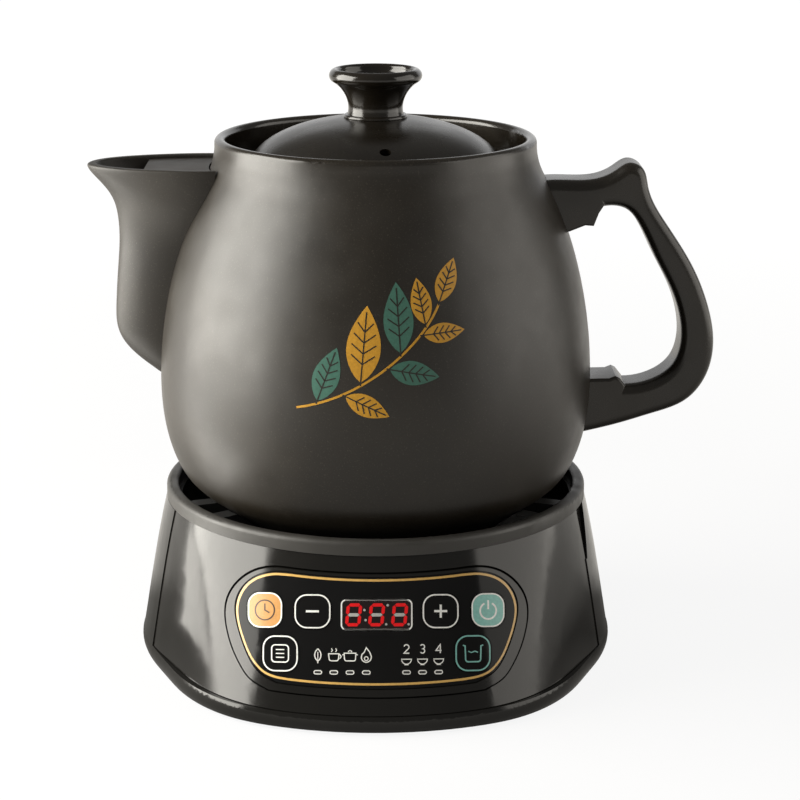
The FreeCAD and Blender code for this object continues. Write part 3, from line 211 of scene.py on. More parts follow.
def glaze(name, roughness, speck, shade=1.0, inside=False):
    """Dark satin stoneware glaze with faint clouds, fine specks and a soft grain; a shade below 1 darkens its
    colour as painted shade.
    """
    # a shade below 1 is painted shade: the glaze's colour is darkened so that pieces on top look less lit
    dark, light = (tuple(c * shade for c in colour) for colour in (GLAZE_DARK, GLAZE_LIGHT))
    material, bsdf = shader(name, dark, roughness, IOR=1.49)
    clouds = spread(material, noise(material, GLAZE_CLOUDS, 4), 0.0, 1.0)
    body = mix(material, clouds, dark, light)
    specks = spread(material, noise(material, GLAZE_SPECKS, 2), 0.0, speck, 0.60, 0.74)
    link(material, mix(material, specks, body, SPECK_PALE), bsdf, "Base Color")
    wide = spread(material, noise(material, GLAZE_SHEEN, 3), roughness - 0.03, roughness + 0.04)
    if inside:
        wide = calculate(material, "MULTIPLY", wide, inside_share(material))
    link(material, wide, bsdf, "Roughness")
    bump(material, bsdf, noise(material, GLAZE_GRAIN, 3), 0.00004, 0.35)
    return material


def moulded(name, colour, roughness, grain, depth, **sockets):
    """Moulded plastic or rubber with a fine surface grain."""
    material, bsdf = shader(name, colour, roughness, **sockets)
    lighter = tuple(c * 1.25 for c in colour)
    clouds = noise(material, PLASTIC_CLOUDS, 3)
    shade = mix(material, spread(material, clouds, 0.0, 1.0), colour, lighter)
    link(material, shade, bsdf, "Base Color")
    rough = spread(material, noise(material, PLASTIC_SHEEN, 3), roughness * 0.88, roughness * 1.14)
    link(material, rough, bsdf, "Roughness")
    bump(material, bsdf, noise(material, grain, 2), depth, 0.5)
    return material


def metal(name, colour, roughness, stretch=(1, 1, 1)):
    """Bare metal with a fine drawn or turned grain."""
    material, bsdf = shader(name, colour, roughness, Metallic=1.0)
    grain = noise(material, METAL_GRAIN, 3, stretch)
    link(material, spread(material, grain, roughness * 0.8, roughness * 1.3), bsdf, "Roughness")
    darker = tuple(c * 0.8 for c in colour)
    shade = mix(material, spread(material, grain, 0.0, 1.0), darker, colour)
    link(material, shade, bsdf, "Base Color")
    bump(material, bsdf, grain, 0.00003, 0.4)
    return material


def ink(name, colour, roughness=0.32, glow=0.0):
    """Printed ink with a slightly uneven coat."""
    material, bsdf = shader(name, colour, roughness)
    thin = tuple(c * 0.86 for c in colour)
    shade = mix(material, spread(material, noise(material, INK_GRAIN, 3), 0.0, 1.0), colour, thin)
    link(material, shade, bsdf, "Base Color")
    if glow:
        bsdf.inputs["Emission Color"].default_value = (*colour, 1)
        bsdf.inputs["Emission Strength"].default_value = glow
    return material


FINISHES = {
    "stoneware": glaze("stoneware_glaze", 0.40, 0.35, inside=True),
    # painted shade: the knob's glaze colour is darkened to 0.6 so that it looks less lit
    "knob_glaze": glaze("knob_glaze", 0.14, 0.08, 0.6),
    "shell_gloss": moulded("shell_gloss", GLOSS_BLACK, 0.14, 260, 0.00001, IOR=1.43),
    "ring_matt": moulded("ring_matt", RING_DARK, 0.46, 2600, 0.00004),
    "panel_gloss": moulded("panel_film", FILM_BLACK, 0.10, 300, 0.00001, IOR=1.24),
    "key_amber": moulded("key_film_amber", FILM_BLACK, 0.10, 300, 0.00001, IOR=1.24),
    "key_teal": moulded("key_film_teal", FILM_BLACK, 0.10, 300, 0.00001, IOR=1.24),
    "key_black": moulded("key_film", FILM_BLACK, 0.10, 300, 0.00001, IOR=1.24),
    "smoked_window": moulded("smoked_window", (0.010, 0.005, 0.005), 0.07, 300, 0.000008),
    "lens": moulded("lamp_lens", (0.030, 0.029, 0.028), 0.16, 400, 0.00001),
    "circuit_board": moulded("circuit_board", (0.015, 0.085, 0.035), 0.42, 1200, 0.00003),
    "component_black": moulded("component_black", (0.018, 0.018, 0.019), 0.45, 1800, 0.00004),
    "led_body": moulded("led_body", (0.72, 0.72, 0.68), 0.22, 900, 0.00001),
    "zinc": metal("zinc_plate", (0.55, 0.54, 0.52), 0.32),
    "bowl_steel": moulded("bowl_coat", (0.013, 0.0125, 0.012), 0.34, 2200, 0.00003),
    "pad_silicone": moulded("pad_silicone", (0.022, 0.022, 0.022), 0.40, 1500, 0.00003),
    "cast_alloy": metal("cast_alloy", (0.60, 0.59, 0.57), 0.34, (1, 1, 0.2)),
    "element_steel": metal("element_steel", (0.33, 0.31, 0.29), 0.42),
    "foot_rubber": moulded("foot_rubber", (0.018, 0.018, 0.018), 0.72, 1700, 0.00006),
    "bottom_black": moulded("bottom_black", (0.014, 0.014, 0.014), 0.50, 2000, 0.00006),
    "pin_brass": metal("pin_brass", (0.72, 0.56, 0.28), 0.24),
}

# pieces with a coat of their own
OWN_COATS = {
    "pot_spout": glaze("spout_glaze", 0.50, 0.35),
    # painted shade: the lid's glaze colour is darkened to 0.5 so that it looks less lit
    "lid": glaze("lid_glaze", 0.27, 0.15, 0.5),
    "pot_handle": glaze("handle_glaze", 0.27, 0.25),
    "panel_bezel": FINISHES["shell_gloss"],
}

FLARED = ("base_shell", "front_cover")  # long facets: their large ones lead the shading
WELD_DISTANCE = 1e-6
CREASE = math.radians(32)


def dress_nodes():
    """Give each CAD node its finish and smooth shading up to its real edges."""
    slots = {row["node"]: row["material_slot"] for row in frame["record"]["subparts"]}
    for name, node in frame["nodes"].items():
        node.data.materials.clear()
        node.data.materials.append(OWN_COATS.get(name, FINISHES[slots[name]]))
        node.data.polygons.foreach_set("use_smooth", [True] * len(node.data.polygons))
        weld = node.modifiers.new("weld", "WELD")
        weld.merge_threshold = WELD_DISTANCE
        split = node.modifiers.new("edges", "EDGE_SPLIT")
        split.use_edge_sharp = False
        split.split_angle = CREASE
        if name in FLARED:
            node.modifiers.new("normals", "WEIGHTED_NORMAL").mode = "FACE_AREA_WITH_ANGLE"


def make_spring():
    """The probe's spring as a copy of its own on the base, in place of the CAD node."""
    node = frame["nodes"]["probe_spring"]
    piece = bpy.data.objects.new("spring_wire", node.data.copy())
    bpy.context.scene.collection.objects.link(piece)
    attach(piece, "base")
    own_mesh(piece)
    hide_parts("probe_spring")


# ------------------------------------------------------------ flat drawings
# A drawing is a list of (points, faces) in millimetres on its own plane.
STEP = 1.4  # longest side of a print's facet


def resample(points, closed):
    """The same line with no side longer than STEP."""
    pairs = list(zip(points, points[1:] + (points[:1] if closed else [])))
    line = []
    for (x0, y0), (x1, y1) in pairs:
        parts = max(1, math.ceil(math.hypot(x1 - x0, y1 - y0) / STEP))
        line += [(x0 + (x1 - x0) * i / parts, y0 + (y1 - y0) * i / parts) for i in range(parts)]
    return line if closed else line + [points[-1]]


def stroke(points, width, closed=False):
    """Ribbon of even width along a line."""
    line = resample(points, closed)
    count = len(line)
    sides = []
    for i, (x, y) in enumerate(line):
        before = line[i - 1] if closed or i else line[i]
        after = line[(i + 1) % count] if closed or i < count - 1 else line[i]
        first = (x - before[0], y - before[1])
        last = (after[0] - x, after[1] - y)
        lengths = [math.hypot(*v) or 1.0 for v in (first, last)]
        along = tuple(first[k] / lengths[0] + last[k] / lengths[1] for k in (0, 1))
        size = math.hypot(*along) or 1.0
        across = (-along[1] / size, along[0] / size)
        both = bool(math.hypot(*first)) and bool(math.hypot(*last))
        reach = width / 2 / max(size / 2 if both else 1.0, 0.5)
        sides += [(x + across[0] * reach, y + across[1] * reach),
                  (x - across[0] * reach, y - across[1] * reach)]
    last = count if closed else count - 1
    whole = 2 * count
    faces = [(2 * i, 2 * i + 1, (2 * i + 3) % whole, (2 * i + 2) % whole) for i in range(last)]
    return sides, faces


def fill(points, rings=5):
    """Filled outline, as rings about its middle."""
    line = resample(points, True)
    count = len(line)
    middle = (sum(p[0] for p in line) / count, sum(p[1] for p in line) / count)
    made = [middle]
    for ring in range(1, rings + 1):
        share = ring / rings
        made += [tuple(middle[k] + (p[k] - middle[k]) * share for k in (0, 1)) for p in line]
    faces = [(0, 1 + i, 1 + (i + 1) % count) for i in range(count)]
    for ring in range(rings - 1):
        start, nxt = 1 + ring * count, 1 + (ring + 1) * count
        for i in range(count):
            j = (i + 1) % count
            faces.append((start + i, nxt + i, nxt + j, start + j))
    return made, faces


def arc(x, y, radius, start, end, count=16):
    """Points of a round arc, in degrees from the right, anticlockwise."""
    turns = [math.radians(start + (end - start) * i / count) for i in range(count + 1)]
    return [(x + radius * math.cos(t), y + radius * math.sin(t)) for t in turns]


def ring_of(x, y, radius, count=32):
    return arc(x, y, radius, 0, 360, count)[:-1]


def rounded(width, height, corner, x=0.0, y=0.0):
    """Outline of a rectangle with round corners."""
    outline = []
    for i, (sx, sy) in enumerate(((1, 1), (-1, 1), (-1, -1), (1, -1))):
        centre = (x + sx * (width / 2 - corner), y + sy * (height / 2 - corner))
        outline += arc(*centre, corner, 90 * i, 90 * i + 90, 8)
    return outline


def moved(drawing, x, y):
    return [([(px + x, py + y) for px, py in points], faces) for points, faces in drawing]


# -------------------------------------------------------- drawings on nodes
def surface_of(*nodes):
    """Search tree over the faces of some CAD nodes."""
    points, faces = [], []
    for name in nodes:
        mesh = frame["nodes"][name].data
        offset = len(points)
        points += [v.co.copy() for v in mesh.vertices]
        faces += [[offset + i for i in p.vertices] for p in mesh.polygons]
    return BVHTree.FromPolygons(points, faces)


# millimetres
COAT_LIFT = 0.07     # outer face of a print, from the surface under it
RING_LIFT = 0.09
SYMBOL_LIFT = 0.14
LEAF_LIFT = 0.12
VEIN_LIFT = 0.18
COAT_THICKNESS = 0.05
SEARCH_OUT, SEARCH_DEPTH = 0.05, 0.12  # metres, of the search for the surface


def lay(name, drawing, plane, nodes, body, material, lift=COAT_LIFT):
    """Lay a drawing on CAD nodes as a thin coat that follows their surface."""
    origin, right, up = plane
    outward = right.cross(up)
    tree = surface_of(*nodes)
    points, faces = [], []
    for flat, sides in drawing:
        offset = len(points)
        for x, y in flat:
            start = origin + right * (x * MM) + up * (y * MM)
            hit, normal, _, _ = tree.ray_cast(start + outward * SEARCH_OUT, -outward, SEARCH_DEPTH)
            if hit is None:
                hit, normal, _, _ = tree.find_nearest(start)
            if normal.dot(outward) < 0:
                normal = -normal
            points.append(hit + normal * (lift * MM))
        faces += [[offset + i for i in side] for side in sides]
    mesh = bpy.data.meshes.new(name)
    mesh.from_pydata(points, [], faces)
    for polygon in mesh.polygons:
        if polygon.normal.dot(outward) < 0:
            polygon.flip()
    mesh.materials.append(material)
    piece = bpy.data.objects.new(name, mesh)
    bpy.context.scene.collection.objects.link(piece)
    coat = piece.modifiers.new("coat", "SOLIDIFY")
    coat.thickness = COAT_THICKNESS * MM
    coat.offset = -1.0
    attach(piece, body)
    return piece


GLAZED_INK = 0.45  # roughness of the colours fired on the pot

INKS = {
    "white": ink("ink_white", WHITE_INK),
    "pale": ink("ink_pale", PALE_INK),
    "gold": ink("ink_gold", GOLD_INK, 0.25),
    "amber": ink("ink_amber", AMBER_INK),
    "teal": ink("ink_teal", TEAL_INK),
    "brown": ink("ink_brown", BROWN_INK),
    "leaf_teal": ink("ink_leaf_teal", LEAF_TEAL, GLAZED_INK),
    "leaf_ochre": ink("ink_leaf_ochre", LEAF_OCHRE, GLAZED_INK),
    "vein": ink("ink_vein", VEIN_BROWN, GLAZED_INK),
    "lit_red": ink("lit_red", LIT_RED, 0.3, 0.35),
}

# ------------------------------------------------------------ control panel
WINDOW_UP = 8.1  # millimetres from the panel's middle up to the display's
window_low, window_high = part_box("display_window")
key_slide = [joint for joint in frame["joints"] if joint["name"] == "key_plus_press"][0]
PANEL_IN = Vector(key_slide["axis"]).normalized()
PANEL_RIGHT = Vector((1, 0, 0))
PANEL_UP = PANEL_RIGHT.cross(PANEL_IN)
PANEL_MIDDLE = (window_low + window_high) / 2 - PANEL_UP * (WINDOW_UP * MM)
PANEL = (PANEL_MIDDLE, PANEL_RIGHT, PANEL_UP)

# widths of the printed lines, in millimetres
RING_W = 0.62      # outlines of the keys and the window
KEY_LINE_W = 0.6   # outer line of a key's symbol
PAGE_W = 0.55
POWER_W = 0.8
SIGN_W = 0.95      # plus and minus
LINE_W = 0.48      # outer line of a lamp's mark
THIN_W = 0.40      # its small parts
FINE_W = 0.36      # its inner line
EAR_W = 0.45
BOWL_W = 0.42
NUMERAL_W = 0.5
LAMP_RING_W = 0.42
GOLD_W = 0.95

SIGN_HALF = 2.9
RING_INSET = 0.75  # from the key's edge
GROUND_INSET = 0.9
KEY_CORNER = 6.0
# width, height and corner
WINDOW_RING = (31.2, 13.25, 2.2)
LAMP_RING = (3.4, 1.5, 0.74)

# place across and up, width and height
KEYS = {
    "key_timer": (-50.0, 10.0, 16.6, 16.6),
    "key_minus": (-28.5, 9.6, 17.0, 16.0),
    "key_plus": (28.5, 9.6, 17.0, 16.0),
    "key_start": (50.0, 9.8, 16.0, 16.0),
    "key_function": (-43.0, -9.2, 16.8, 16.8),
    "key_water": (43.0, -9.2, 16.8, 16.8),
}


def key_outline(key, inset):
    width, height = KEYS[key][2:]
    return rounded(width - 2 * inset, height - 2 * inset, KEY_CORNER - inset)


def clock():
    """Clock face for the timer key."""
    hands = [(0, 2.9), (0, 0), (2.1, -1.2)]
    return [stroke(ring_of(0, 0, 4.4), KEY_LINE_W, True), stroke(hands, KEY_LINE_W)]


def list_page():
    lines = [stroke([(-1.9, y), (1.9, y)], LINE_W) for y in (1.7, 0.0, -1.7)]
    return lines + [stroke(rounded(7.6, 7.6, 1.6), PAGE_W, True)]


def beaker():
    """Open vessel with its water line."""
    side = [(-4.6, 3.6), (-3.6, 3.2), (-3.4, -2.6)] + arc(-2.2, -2.6, 1.2, 180, 270, 5)
    wall = side + [(-x, y) for x, y in side[::-1]]
    water = [(-2.2, 0.9), (-0.8, 0.3), (0.8, 0.9), (2.2, 0.3)]
    return [stroke(wall, KEY_LINE_W), stroke(water, LINE_W)]


def power_mark():
    ring = arc(0, -0.3, 3.7, 118, 422, 24)
    return [stroke(ring, POWER_W), stroke([(0, 4.4), (0, 0.4)], POWER_W)]


def leaf_mark():
    left = arc(1.9, 0, 3.3, 125, 235, 8)
    right = arc(-1.9, 0, 3.3, -55, 55, 8)
    return [stroke(left + right, LINE_W, True), stroke([(0, -3.6), (0, 1.4)], FINE_W)]


def vessel(side, corner):
    """Outline of an open vessel: its left side, a round bottom and its right top."""
    x, y, radius = corner
    bottom = arc(-x, y, radius, 180, 270, 4) + arc(x, y, radius, 270, 360, 4)
    top = side[0]
    return side + bottom + [(-top[0], top[1])]


def cup_mark():
    cup = vessel([(-2.3, 0.6), (-2.1, -1.4)], (1.1, -1.5, 1.0))
    ear = stroke(arc(2.3, -0.6, 0.9, -80, 80, 8), THIN_W)
    steam = [stroke([(x, 1.4), (x + 0.5, 2.2), (x, 3.0)], THIN_W) for x in (-1.1, 0.8)]
    return [stroke(cup, LINE_W, True), ear] + steam


def pan_mark():
    pan = vessel([(-2.6, 0.9), (-2.5, -1.6)], (1.6, -1.7, 0.8))
    knob = stroke(arc(0, 1.3, 0.75, 0, 180, 8), THIN_W)
    ears = [stroke([(s * 2.6, 0.2), (s * 3.4, 0.2)], EAR_W) for s in (-1, 1)]
    return [stroke(pan, LINE_W, True), knob] + ears


def flame_mark():
    right, left = [(0, 3.3), (1.5, 1.4), (2.2, -0.4)], [(-1.9, 0.4), (-0.9, 1.3)]
    outline = right + arc(0, -0.9, 2.2, 0, -180, 10) + left
    return [stroke(outline, LINE_W, True), stroke(arc(0, -1.5, 0.9, 150, -330, 10), FINE_W)]


def bowl_mark():
    bowl = [(-2.2, 0.7)] + arc(0, 0.7, 2.2, 180, 360, 12)
    return [stroke(bowl, BOWL_W, True), stroke([(-0.9, -1.75), (0.9, -1.75)], BOWL_W)]


NUMERALS = {
    "2": [arc(0, 0.8, 1.1, 165, -35, 12) + [(-1.15, -1.85), (1.25, -1.85)]],
    "3": [arc(0, 0.95, 0.95, 150, -90, 10) + arc(0, -0.9, 1.0, 90, -150, 10)[1:]],
    "4": [[(0.75, -1.95), (0.75, 1.9), (-1.2, -0.75), (1.35, -0.75)]],
}

# right half of the line round the panel, on the front, from its top to its bottom
GOLD_HALF = [
    (38.5, 64.3), (45.0, 63.8), (50.0, 62.4), (54.6, 60.0), (58.5, 56.5),
    (61.3, 52.0), (62.7, 47.4), (62.7, 43.0), (61.4, 37.9), (59.3, 32.8),
    (56.9, 28.4), (54.1, 25.1), (50.4, 22.5), (45.6, 21.3), (39.5, 21.0),
]
# place across the panel and mark of each lamp
LAMPS = {-26.1: leaf_mark, -19.0: cup_mark, -11.8: pan_mark, -4.6: flame_mark,
         13.2: "2", 20.3: "3", 27.5: "4"}
LAMP_UP = -17.3
MARK_UP = -9.7
NUMERAL_UP = -7.0
BOWL_UP = -12.2


def smooth(points, parts=5):
    """Curve through the points that starts and ends along its first and last side."""
    line = []
    ends = [points[0]] + points + [points[-1]]
    for p0, p1, p2, p3 in zip(ends, ends[1:], ends[2:], ends[3:]):
        for i in range(parts):
            t = i / parts
            weights = (-t + 2 * t ** 2 - t ** 3, 2 - 5 * t ** 2 + 3 * t ** 3,
                       t + 4 * t ** 2 - 3 * t ** 3, -t ** 2 + t ** 3)
            near = list(zip(weights, (p0, p1, p2, p3)))
            line.append(tuple(sum(w * p[k] for w, p in near) / 2 for k in (0, 1)))
    return line + [points[-1]]


def gold_line():
    """Closed line round the panel, level along its top and bottom."""
    half = smooth(GOLD_HALF)
    return half + [(-x, z) for x, z in half[::-1]]


def print_panel():
    """All prints that lie on the panel's film."""
    front = (Vector((0, PANEL_MIDDLE.y, 0)), PANEL_RIGHT, Vector((0, 0, 1)))
    gold = [stroke(gold_line(), GOLD_W, True)]
    lay("gold_line", gold, front, ["panel_plate"], "base", INKS["gold"])
    outline = [stroke(rounded(*WINDOW_RING, 0, WINDOW_UP), RING_W, True)]
    lay("window_outline", outline, PANEL, ["panel_plate", "display_window"], "base", INKS["white"])
    white = []
    for across, mark in LAMPS.items():
        if callable(mark):
            white += moved(mark(), across, MARK_UP)
        else:
            white += moved([stroke(line, NUMERAL_W) for line in NUMERALS[mark]], across, NUMERAL_UP)
            white += moved(bowl_mark(), across, BOWL_UP)
    lay("panel_marks", white, PANEL, ["panel_plate"], "base", INKS["white"])
    rings = [stroke(rounded(*LAMP_RING, across, LAMP_UP), LAMP_RING_W, True) for across in LAMPS]
    lay("lamp_outlines", rings, PANEL, ["indicator_lenses"], "base", INKS["white"])


def print_keys():
    """Ground, outline and symbol of each key, each a little above the last."""
    level = stroke([(-SIGN_HALF, 0), (SIGN_HALF, 0)], SIGN_W)
    upright = stroke([(0, -SIGN_HALF), (0, SIGN_HALF)], SIGN_W)
    # ground, outline and symbol colours, and the symbol
    symbols = {
        "key_timer": ("amber", "white", "brown", clock()),
        "key_minus": (None, "white", "white", [level]),
        "key_plus": (None, "white", "white", [level, upright]),
        "key_start": ("teal", "white", "white", power_mark()),
        "key_function": (None, "white", "white", list_page()),
        "key_water": (None, "teal", "teal", beaker()),
    }
    for key, (ground, ring, mark, drawing) in symbols.items():
        across, up = KEYS[key][:2]
        if ground:
            area = moved([fill(key_outline(key, GROUND_INSET))], across, up)
            lay(key + "_ground", area, PANEL, [key], key, INKS[ground])
        outline = moved([stroke(key_outline(key, RING_INSET), RING_W, True)], across, up)
        lay(key + "_outline", outline, PANEL, [key], key, INKS[ring], RING_LIFT)
        symbol = moved(drawing, across, up)
        lay(key + "_symbol", symbol, PANEL, [key], key, INKS[mark], SYMBOL_LIFT)


# ------------------------------------------------------------------ display
DIGIT_W = 6.9
DIGIT_H = 10.2
DIGIT_PITCH = 10.2
SEGMENT_W = 1.45
SLANT = 0.10
SEGMENT_GAP = 0.15
# small unlit dots of the display
DOTS = ((-5.4, 2.1), (-4.9, -2.3), (4.2, -4.2), (14.2, -4.2), (4.9, 4.2))
DOT_R = 0.55


def segment(x0, y0, x1, y1):
    """Pointed bar between two corners of a digit."""
    length = math.hypot(x1 - x0, y1 - y0)
    ax, ay = (x1 - x0) / length, (y1 - y0) / length
    h = SEGMENT_W / 2
    sx, sy = x0 + ax * SEGMENT_GAP, y0 + ay * SEGMENT_GAP
    ex, ey = x1 - ax * SEGMENT_GAP, y1 - ay * SEGMENT_GAP
    outline = [
        (sx, sy), (sx + ax * h - ay * h, sy + ay * h + ax * h),
        (ex - ax * h - ay * h, ey - ay * h + ax * h), (ex, ey),
        (ex - ax * h + ay * h, ey - ay * h - ax * h), (sx + ax * h + ay * h, sy + ay * h - ax * h),
    ]
    return [(x + y * SLANT, y) for x, y in outline]


def display():
    """Three lit noughts with their unlit middle bars and dots."""
    w, h = (DIGIT_W - SEGMENT_W) / 2, (DIGIT_H - SEGMENT_W) / 2
    corners = [(-w, -h), (-w, 0), (-w, h), (w, h), (w, 0), (w, -h), (-w, -h)]
    lit, dull = [], []
    for digit in (-1, 0, 1):
        bars = [fill(segment(*a, *b), 2) for a, b in zip(corners, corners[1:])]
        lit += moved(bars, digit * DIGIT_PITCH, WINDOW_UP)
        dull += moved([fill(segment(-w, 0, w, 0), 2)], digit * DIGIT_PITCH, WINDOW_UP)
    for x, y in DOTS:
        dull += moved([fill(ring_of(x, y, DOT_R, 12), 2)], 0, WINDOW_UP)
    lay("display_digits", lit, PANEL, ["display_window"], "base", INKS["lit_red"])
    lay("display_unlit", dull, PANEL, ["display_window"], "base", INKS["pale"])


# ------------------------------------------------------- sprig on the pot
SPRIG_MIDDLE = Vector((-0.002, -0.12, 0.167))
SPRIG = (SPRIG_MIDDLE, Vector((1, 0, 0)), Vector((0, 0, 1)))
STEM = [(-33.0, -25.0), (-4.0, -19.0), (22.0, 3.0), (29.0, 20.0)]
STEM_W = 1.0
VEIN_W = 0.55
VEIN_SHARE = 0.72  # how far the side veins go towards the leaf's edge
LEAF_STALK = 1.5
# place on the stem, turn from it, length, width, colour
LEAVES = [
    (0.10, 52, 25.0, 11.5, "leaf_teal"), (0.24, -50, 21.0, 9.5, "leaf_ochre"),
    (0.34, 55, 33.0, 15.0, "leaf_ochre"), (0.50, -48, 22.0, 10.5, "leaf_teal"),
    (0.60, 52, 30.0, 13.0, "leaf_teal"), (0.76, -46, 18.0, 8.5, "leaf_ochre"),
    (0.82, 48, 20.0, 9.0, "leaf_ochre"), (0.99, 4, 19.0, 9.0, "leaf_ochre"),
]


def stem_at(t):
    """Point and direction of the stem's curve."""
    a, b, c, d = STEM
    k = ((1 - t) ** 3, 3 * t * (1 - t) ** 2, 3 * t * t * (1 - t), t ** 3)
    point = tuple(sum(w * p[i] for w, p in zip(k, STEM)) for i in (0, 1))
    s = ((1 - t) ** 2, 2 * t * (1 - t), t * t)
    sides = ((a, b), (b, c), (c, d))
    slope = tuple(sum(w * (q[i] - p[i]) for w, (p, q) in zip(s, sides)) for i in (0, 1))
    return point, math.degrees(math.atan2(slope[1], slope[0]))


def turned(points, angle, origin):
    c, s = math.cos(math.radians(angle)), math.sin(math.radians(angle))
    return [(origin[0] + x * c - y * s, origin[1] + x * s + y * c) for x, y in points]


def bulge(t):
    """Half width of a leaf at a share of its length, as a share of its widest."""
    return math.sin(math.pi * t ** 0.85) ** 0.9


def leaf(length, width):
    """Outline of a pointed leaf along +x, and its veins."""
    steps = [i / 14 for i in range(15)]
    start = LEAF_STALK
    upper = [(start + length * t, width / 2 * bulge(t)) for t in steps]
    lower = [(x, -y) for x, y in upper[-2:0:-1]]
    veins = [[(0, 0), (start + length * 0.92, 0)]]
    for t in (0.24, 0.38, 0.52, 0.66):
        reach = width / 2 * bulge(t + 0.1) * VEIN_SHARE
        for side in (-1, 1):
            veins.append([(start + length * t, 0), (start + length * (t + 0.12), side * reach)])
    return upper + lower, veins


def print_sprig():
    colours = {"leaf_teal": [], "leaf_ochre": []}
    veins = []
    for place, turn, length, width, colour in LEAVES:
        origin, heading = stem_at(place)
        outline, lines = leaf(length, width)
        colours[colour].append(fill(turned(outline, heading + turn, origin), 4))
        veins += [stroke(turned(line, heading + turn, origin), VEIN_W) for line in lines]
    stem = [stem_at(i / 20)[0] for i in range(21)]
    colours["leaf_ochre"].append(stroke(stem, STEM_W))
    for colour, drawing in colours.items():
        lay("sprig_" + colour, drawing, SPRIG, ["pot_body"], "pot", INKS[colour], LEAF_LIFT)
    lay("sprig_veins", veins, SPRIG, ["pot_body"], "pot", INKS["vein"], VEIN_LIFT)


# ---------------------------------------------------------- studio, camera
FLOOR_Z = cad_low.z
FLOOR_HALF = 12.0
BACKDROP_Y = 11.9
BACKDROP_HIGH = 6.0
PAPER_PALE = 0.05          # what the floor and the backdrop scatter
PAPER_ROUGHNESS = 0.9
FLOOR_SEEN = (0.89, 1.0)   # glow where the camera sees the floor, near the object and far off
FLOOR_NEAR, FLOOR_FAR = 0.35, 1.40
# glow of the floor in reflections, by its place along X and along Y; the brighter counts
MIRRORED_X = [(-0.60, 1.0), (-0.40, 0.95), (-0.31, 0.03), (0.18, 0.03), (0.30, 0.48), (0.60, 0.68)]
MIRRORED_Y = [(-0.90, 0.70), (-0.30, 0.60), (-0.16, 0.48), (0.00, 0.06),
              (0.06, 0.10), (0.11, 0.60), (0.40, 1.0)]
MIRRORED_SPAN = 2.0        # length that the places lie in, with the pot's axis at its middle


def ramp_along(material, value, glows):
    """Glow by place along one axis, from pairs of place and glow."""
    ramp = material.node_tree.nodes.new("ShaderNodeValToRGB")
    stops = ramp.color_ramp.elements
    while len(stops) < len(glows):
        stops.new(0.5)
    for stop, (place, glow) in zip(stops, glows):
        stop.position = place / MIRRORED_SPAN + 0.5
        stop.color = (glow, glow, glow, 1)
    half = MIRRORED_SPAN / 2
    material.node_tree.links.new(spread(material, value, 0, 1, -half, half), ramp.inputs[0])
    return ramp.outputs["Color"]


def sheet(name, corners):
    """Flat four-cornered piece of the studio."""
    mesh = bpy.data.meshes.new(name)
    mesh.from_pydata(corners, [], [(0, 1, 2, 3)])
    piece = bpy.data.objects.new(name, mesh)
    bpy.context.scene.collection.objects.link(piece)
    return piece


def paper(name):
    """Pale matt paper, with the outputs that tell camera rays and mirrored rays."""
    material, bsdf = shader(name, (PAPER_PALE,) * 3, PAPER_ROUGHNESS)
    path = material.node_tree.nodes.new("ShaderNodeLightPath")
    mirrored = [path.outputs[ray] for ray in ("Is Glossy Ray", "Is Transmission Ray")]
    return material, bsdf, path.outputs["Is Camera Ray"], calculate(material, "MAXIMUM", *mirrored)


def make_floor():
    """Pale floor that shows white, keeps the soft shadow and is mirrored in gloss."""
    half = FLOOR_HALF
    flat = [(-half, -half), (half, -half), (half, half), (-half, half)]
    floor = sheet("floor", [(x, y, FLOOR_Z) for x, y in flat])
    material, bsdf, seen, mirrored = paper("floor_paper")
    across, along, _ = place_in(material)
    reach = length_of(material, across, along)
    near_to_far = spread(material, reach, *FLOOR_SEEN, FLOOR_NEAR, FLOOR_FAR)
    glows = [ramp_along(material, across, MIRRORED_X), ramp_along(material, along, MIRRORED_Y)]
    shares = [calculate(material, "MULTIPLY", seen, near_to_far),
              calculate(material, "MULTIPLY", mirrored, calculate(material, "MAXIMUM", *glows))]
    link(material, mix(material, mirrored, WHITE, WARM_MIRRORED), bsdf, "Emission Color")
    link(material, calculate(material, "ADD", *shares), bsdf, "Emission Strength")
    floor.data.materials.append(material)


def make_backdrop():
    """White wall far behind the object, for its gloss at shallow angles."""
    side, low, high = FLOOR_HALF, FLOOR_Z, FLOOR_Z + BACKDROP_HIGH
    flat = [(-side, low), (side, low), (side, high), (-side, high)]
    wall = sheet("backdrop", [(x, BACKDROP_Y, z) for x, z in flat])
    material, bsdf, seen, mirrored = paper("backdrop_paper")
    bsdf.inputs["Emission Color"].default_value = (*WHITE, 1)
    link(material, calculate(material, "MAXIMUM", mirrored, seen), bsdf, "Emission Strength")
    wall.data.materials.append(material)


WORLD_GLOW = 0.22
STRIP_Z = FLOOR_Z + 0.01
# name, place, aim, width, height, watts and colour
SOFTBOXES = [
    ("key_left", (-0.88, -0.12, 0.50), (0, -0.09, 0.40), 0.90, 1.0, 33.5, WARM_KEY),
    # lies face up on the floor and shows in the base's gloss
    ("strip_left", (-0.50, 0.088, STRIP_Z), (-0.50875, 0.09284, STRIP_Z + 1),
     0.14, 0.70, 1.7, WARM_KEY),
    ("fill_right", (1.10, -0.22, 0.55), (0, -0.19, 0.40), 1.26, 1.1, 9.0, WARM_FILL),
]


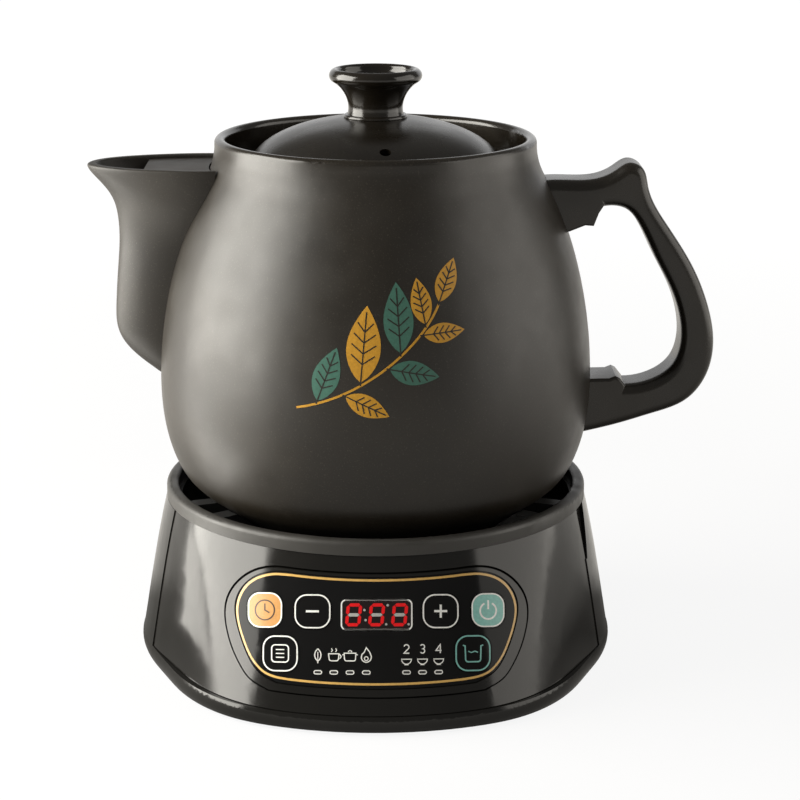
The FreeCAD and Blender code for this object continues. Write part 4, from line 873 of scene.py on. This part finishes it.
def softbox(name, place, aim, width, height, power, colour):
    """Rectangular lamp that the camera doesn't see."""
    lamp = bpy.data.lights.new(name, "AREA")
    lamp.shape = "RECTANGLE"
    lamp.size, lamp.size_y = width, height
    lamp.energy = power
    lamp.color = colour
    holder = bpy.data.objects.new(name, lamp)
    holder.location = place
    holder.rotation_euler = (Vector(aim) - Vector(place)).to_track_quat("-Z", "Y").to_euler()
    holder.visible_camera = False
    bpy.context.scene.collection.objects.link(holder)


def make_studio():
    """The lamps, and a dim warm world that is white where the camera sees it."""
    world = bpy.data.worlds.new("studio")
    world.use_nodes = True
    nodes, links = world.node_tree.nodes, world.node_tree.links
    around = nodes["Background"]
    around.inputs["Color"].default_value = (*WARM_WORLD, 1)
    around.inputs["Strength"].default_value = WORLD_GLOW
    seen = nodes.new("ShaderNodeBackground")
    seen.inputs["Color"].default_value = (*WHITE, 1)
    chosen = nodes.new("ShaderNodeMixShader")
    path = nodes.new("ShaderNodeLightPath")
    links.new(path.outputs["Is Camera Ray"], chosen.inputs[0])
    links.new(around.outputs[0], chosen.inputs[1])
    links.new(seen.outputs[0], chosen.inputs[2])
    links.new(chosen.outputs[0], nodes["World Output"].inputs["Surface"])
    bpy.context.scene.world = world
    for row in SOFTBOXES:
        softbox(*row)


CAMERA_REACH = 1.0229
CAMERA_HEIGHT = 0.4022
CAMERA_TURN = math.radians(0.24)  # the front is seen this much from the left
CAMERA_DROP = math.radians(15.5)  # looks down by this angle
CAMERA_LENS = 99.0
SENSOR_W = 36.0
AXIS_SHIFT = 0.0305  # the pot's axis lies left of the picture's middle


def make_camera():
    data = bpy.data.cameras.new("camera")
    data.lens = CAMERA_LENS
    data.sensor_width = SENSOR_W
    data.shift_x = AXIS_SHIFT
    camera = bpy.data.objects.new("camera", data)
    side, back = math.sin(CAMERA_TURN), math.cos(CAMERA_TURN)
    camera.location = (-CAMERA_REACH * side, -CAMERA_REACH * back, CAMERA_HEIGHT)
    camera.rotation_euler = (math.pi / 2 - CAMERA_DROP, 0, -CAMERA_TURN)
    bpy.context.scene.collection.objects.link(camera)
    bpy.context.scene.camera = camera


dress_nodes()
make_spring()
print_panel()
print_keys()
display()
print_sprig()
make_floor()
make_backdrop()
make_studio()
make_camera()
bpy.context.scene.view_settings.view_transform = "Standard"
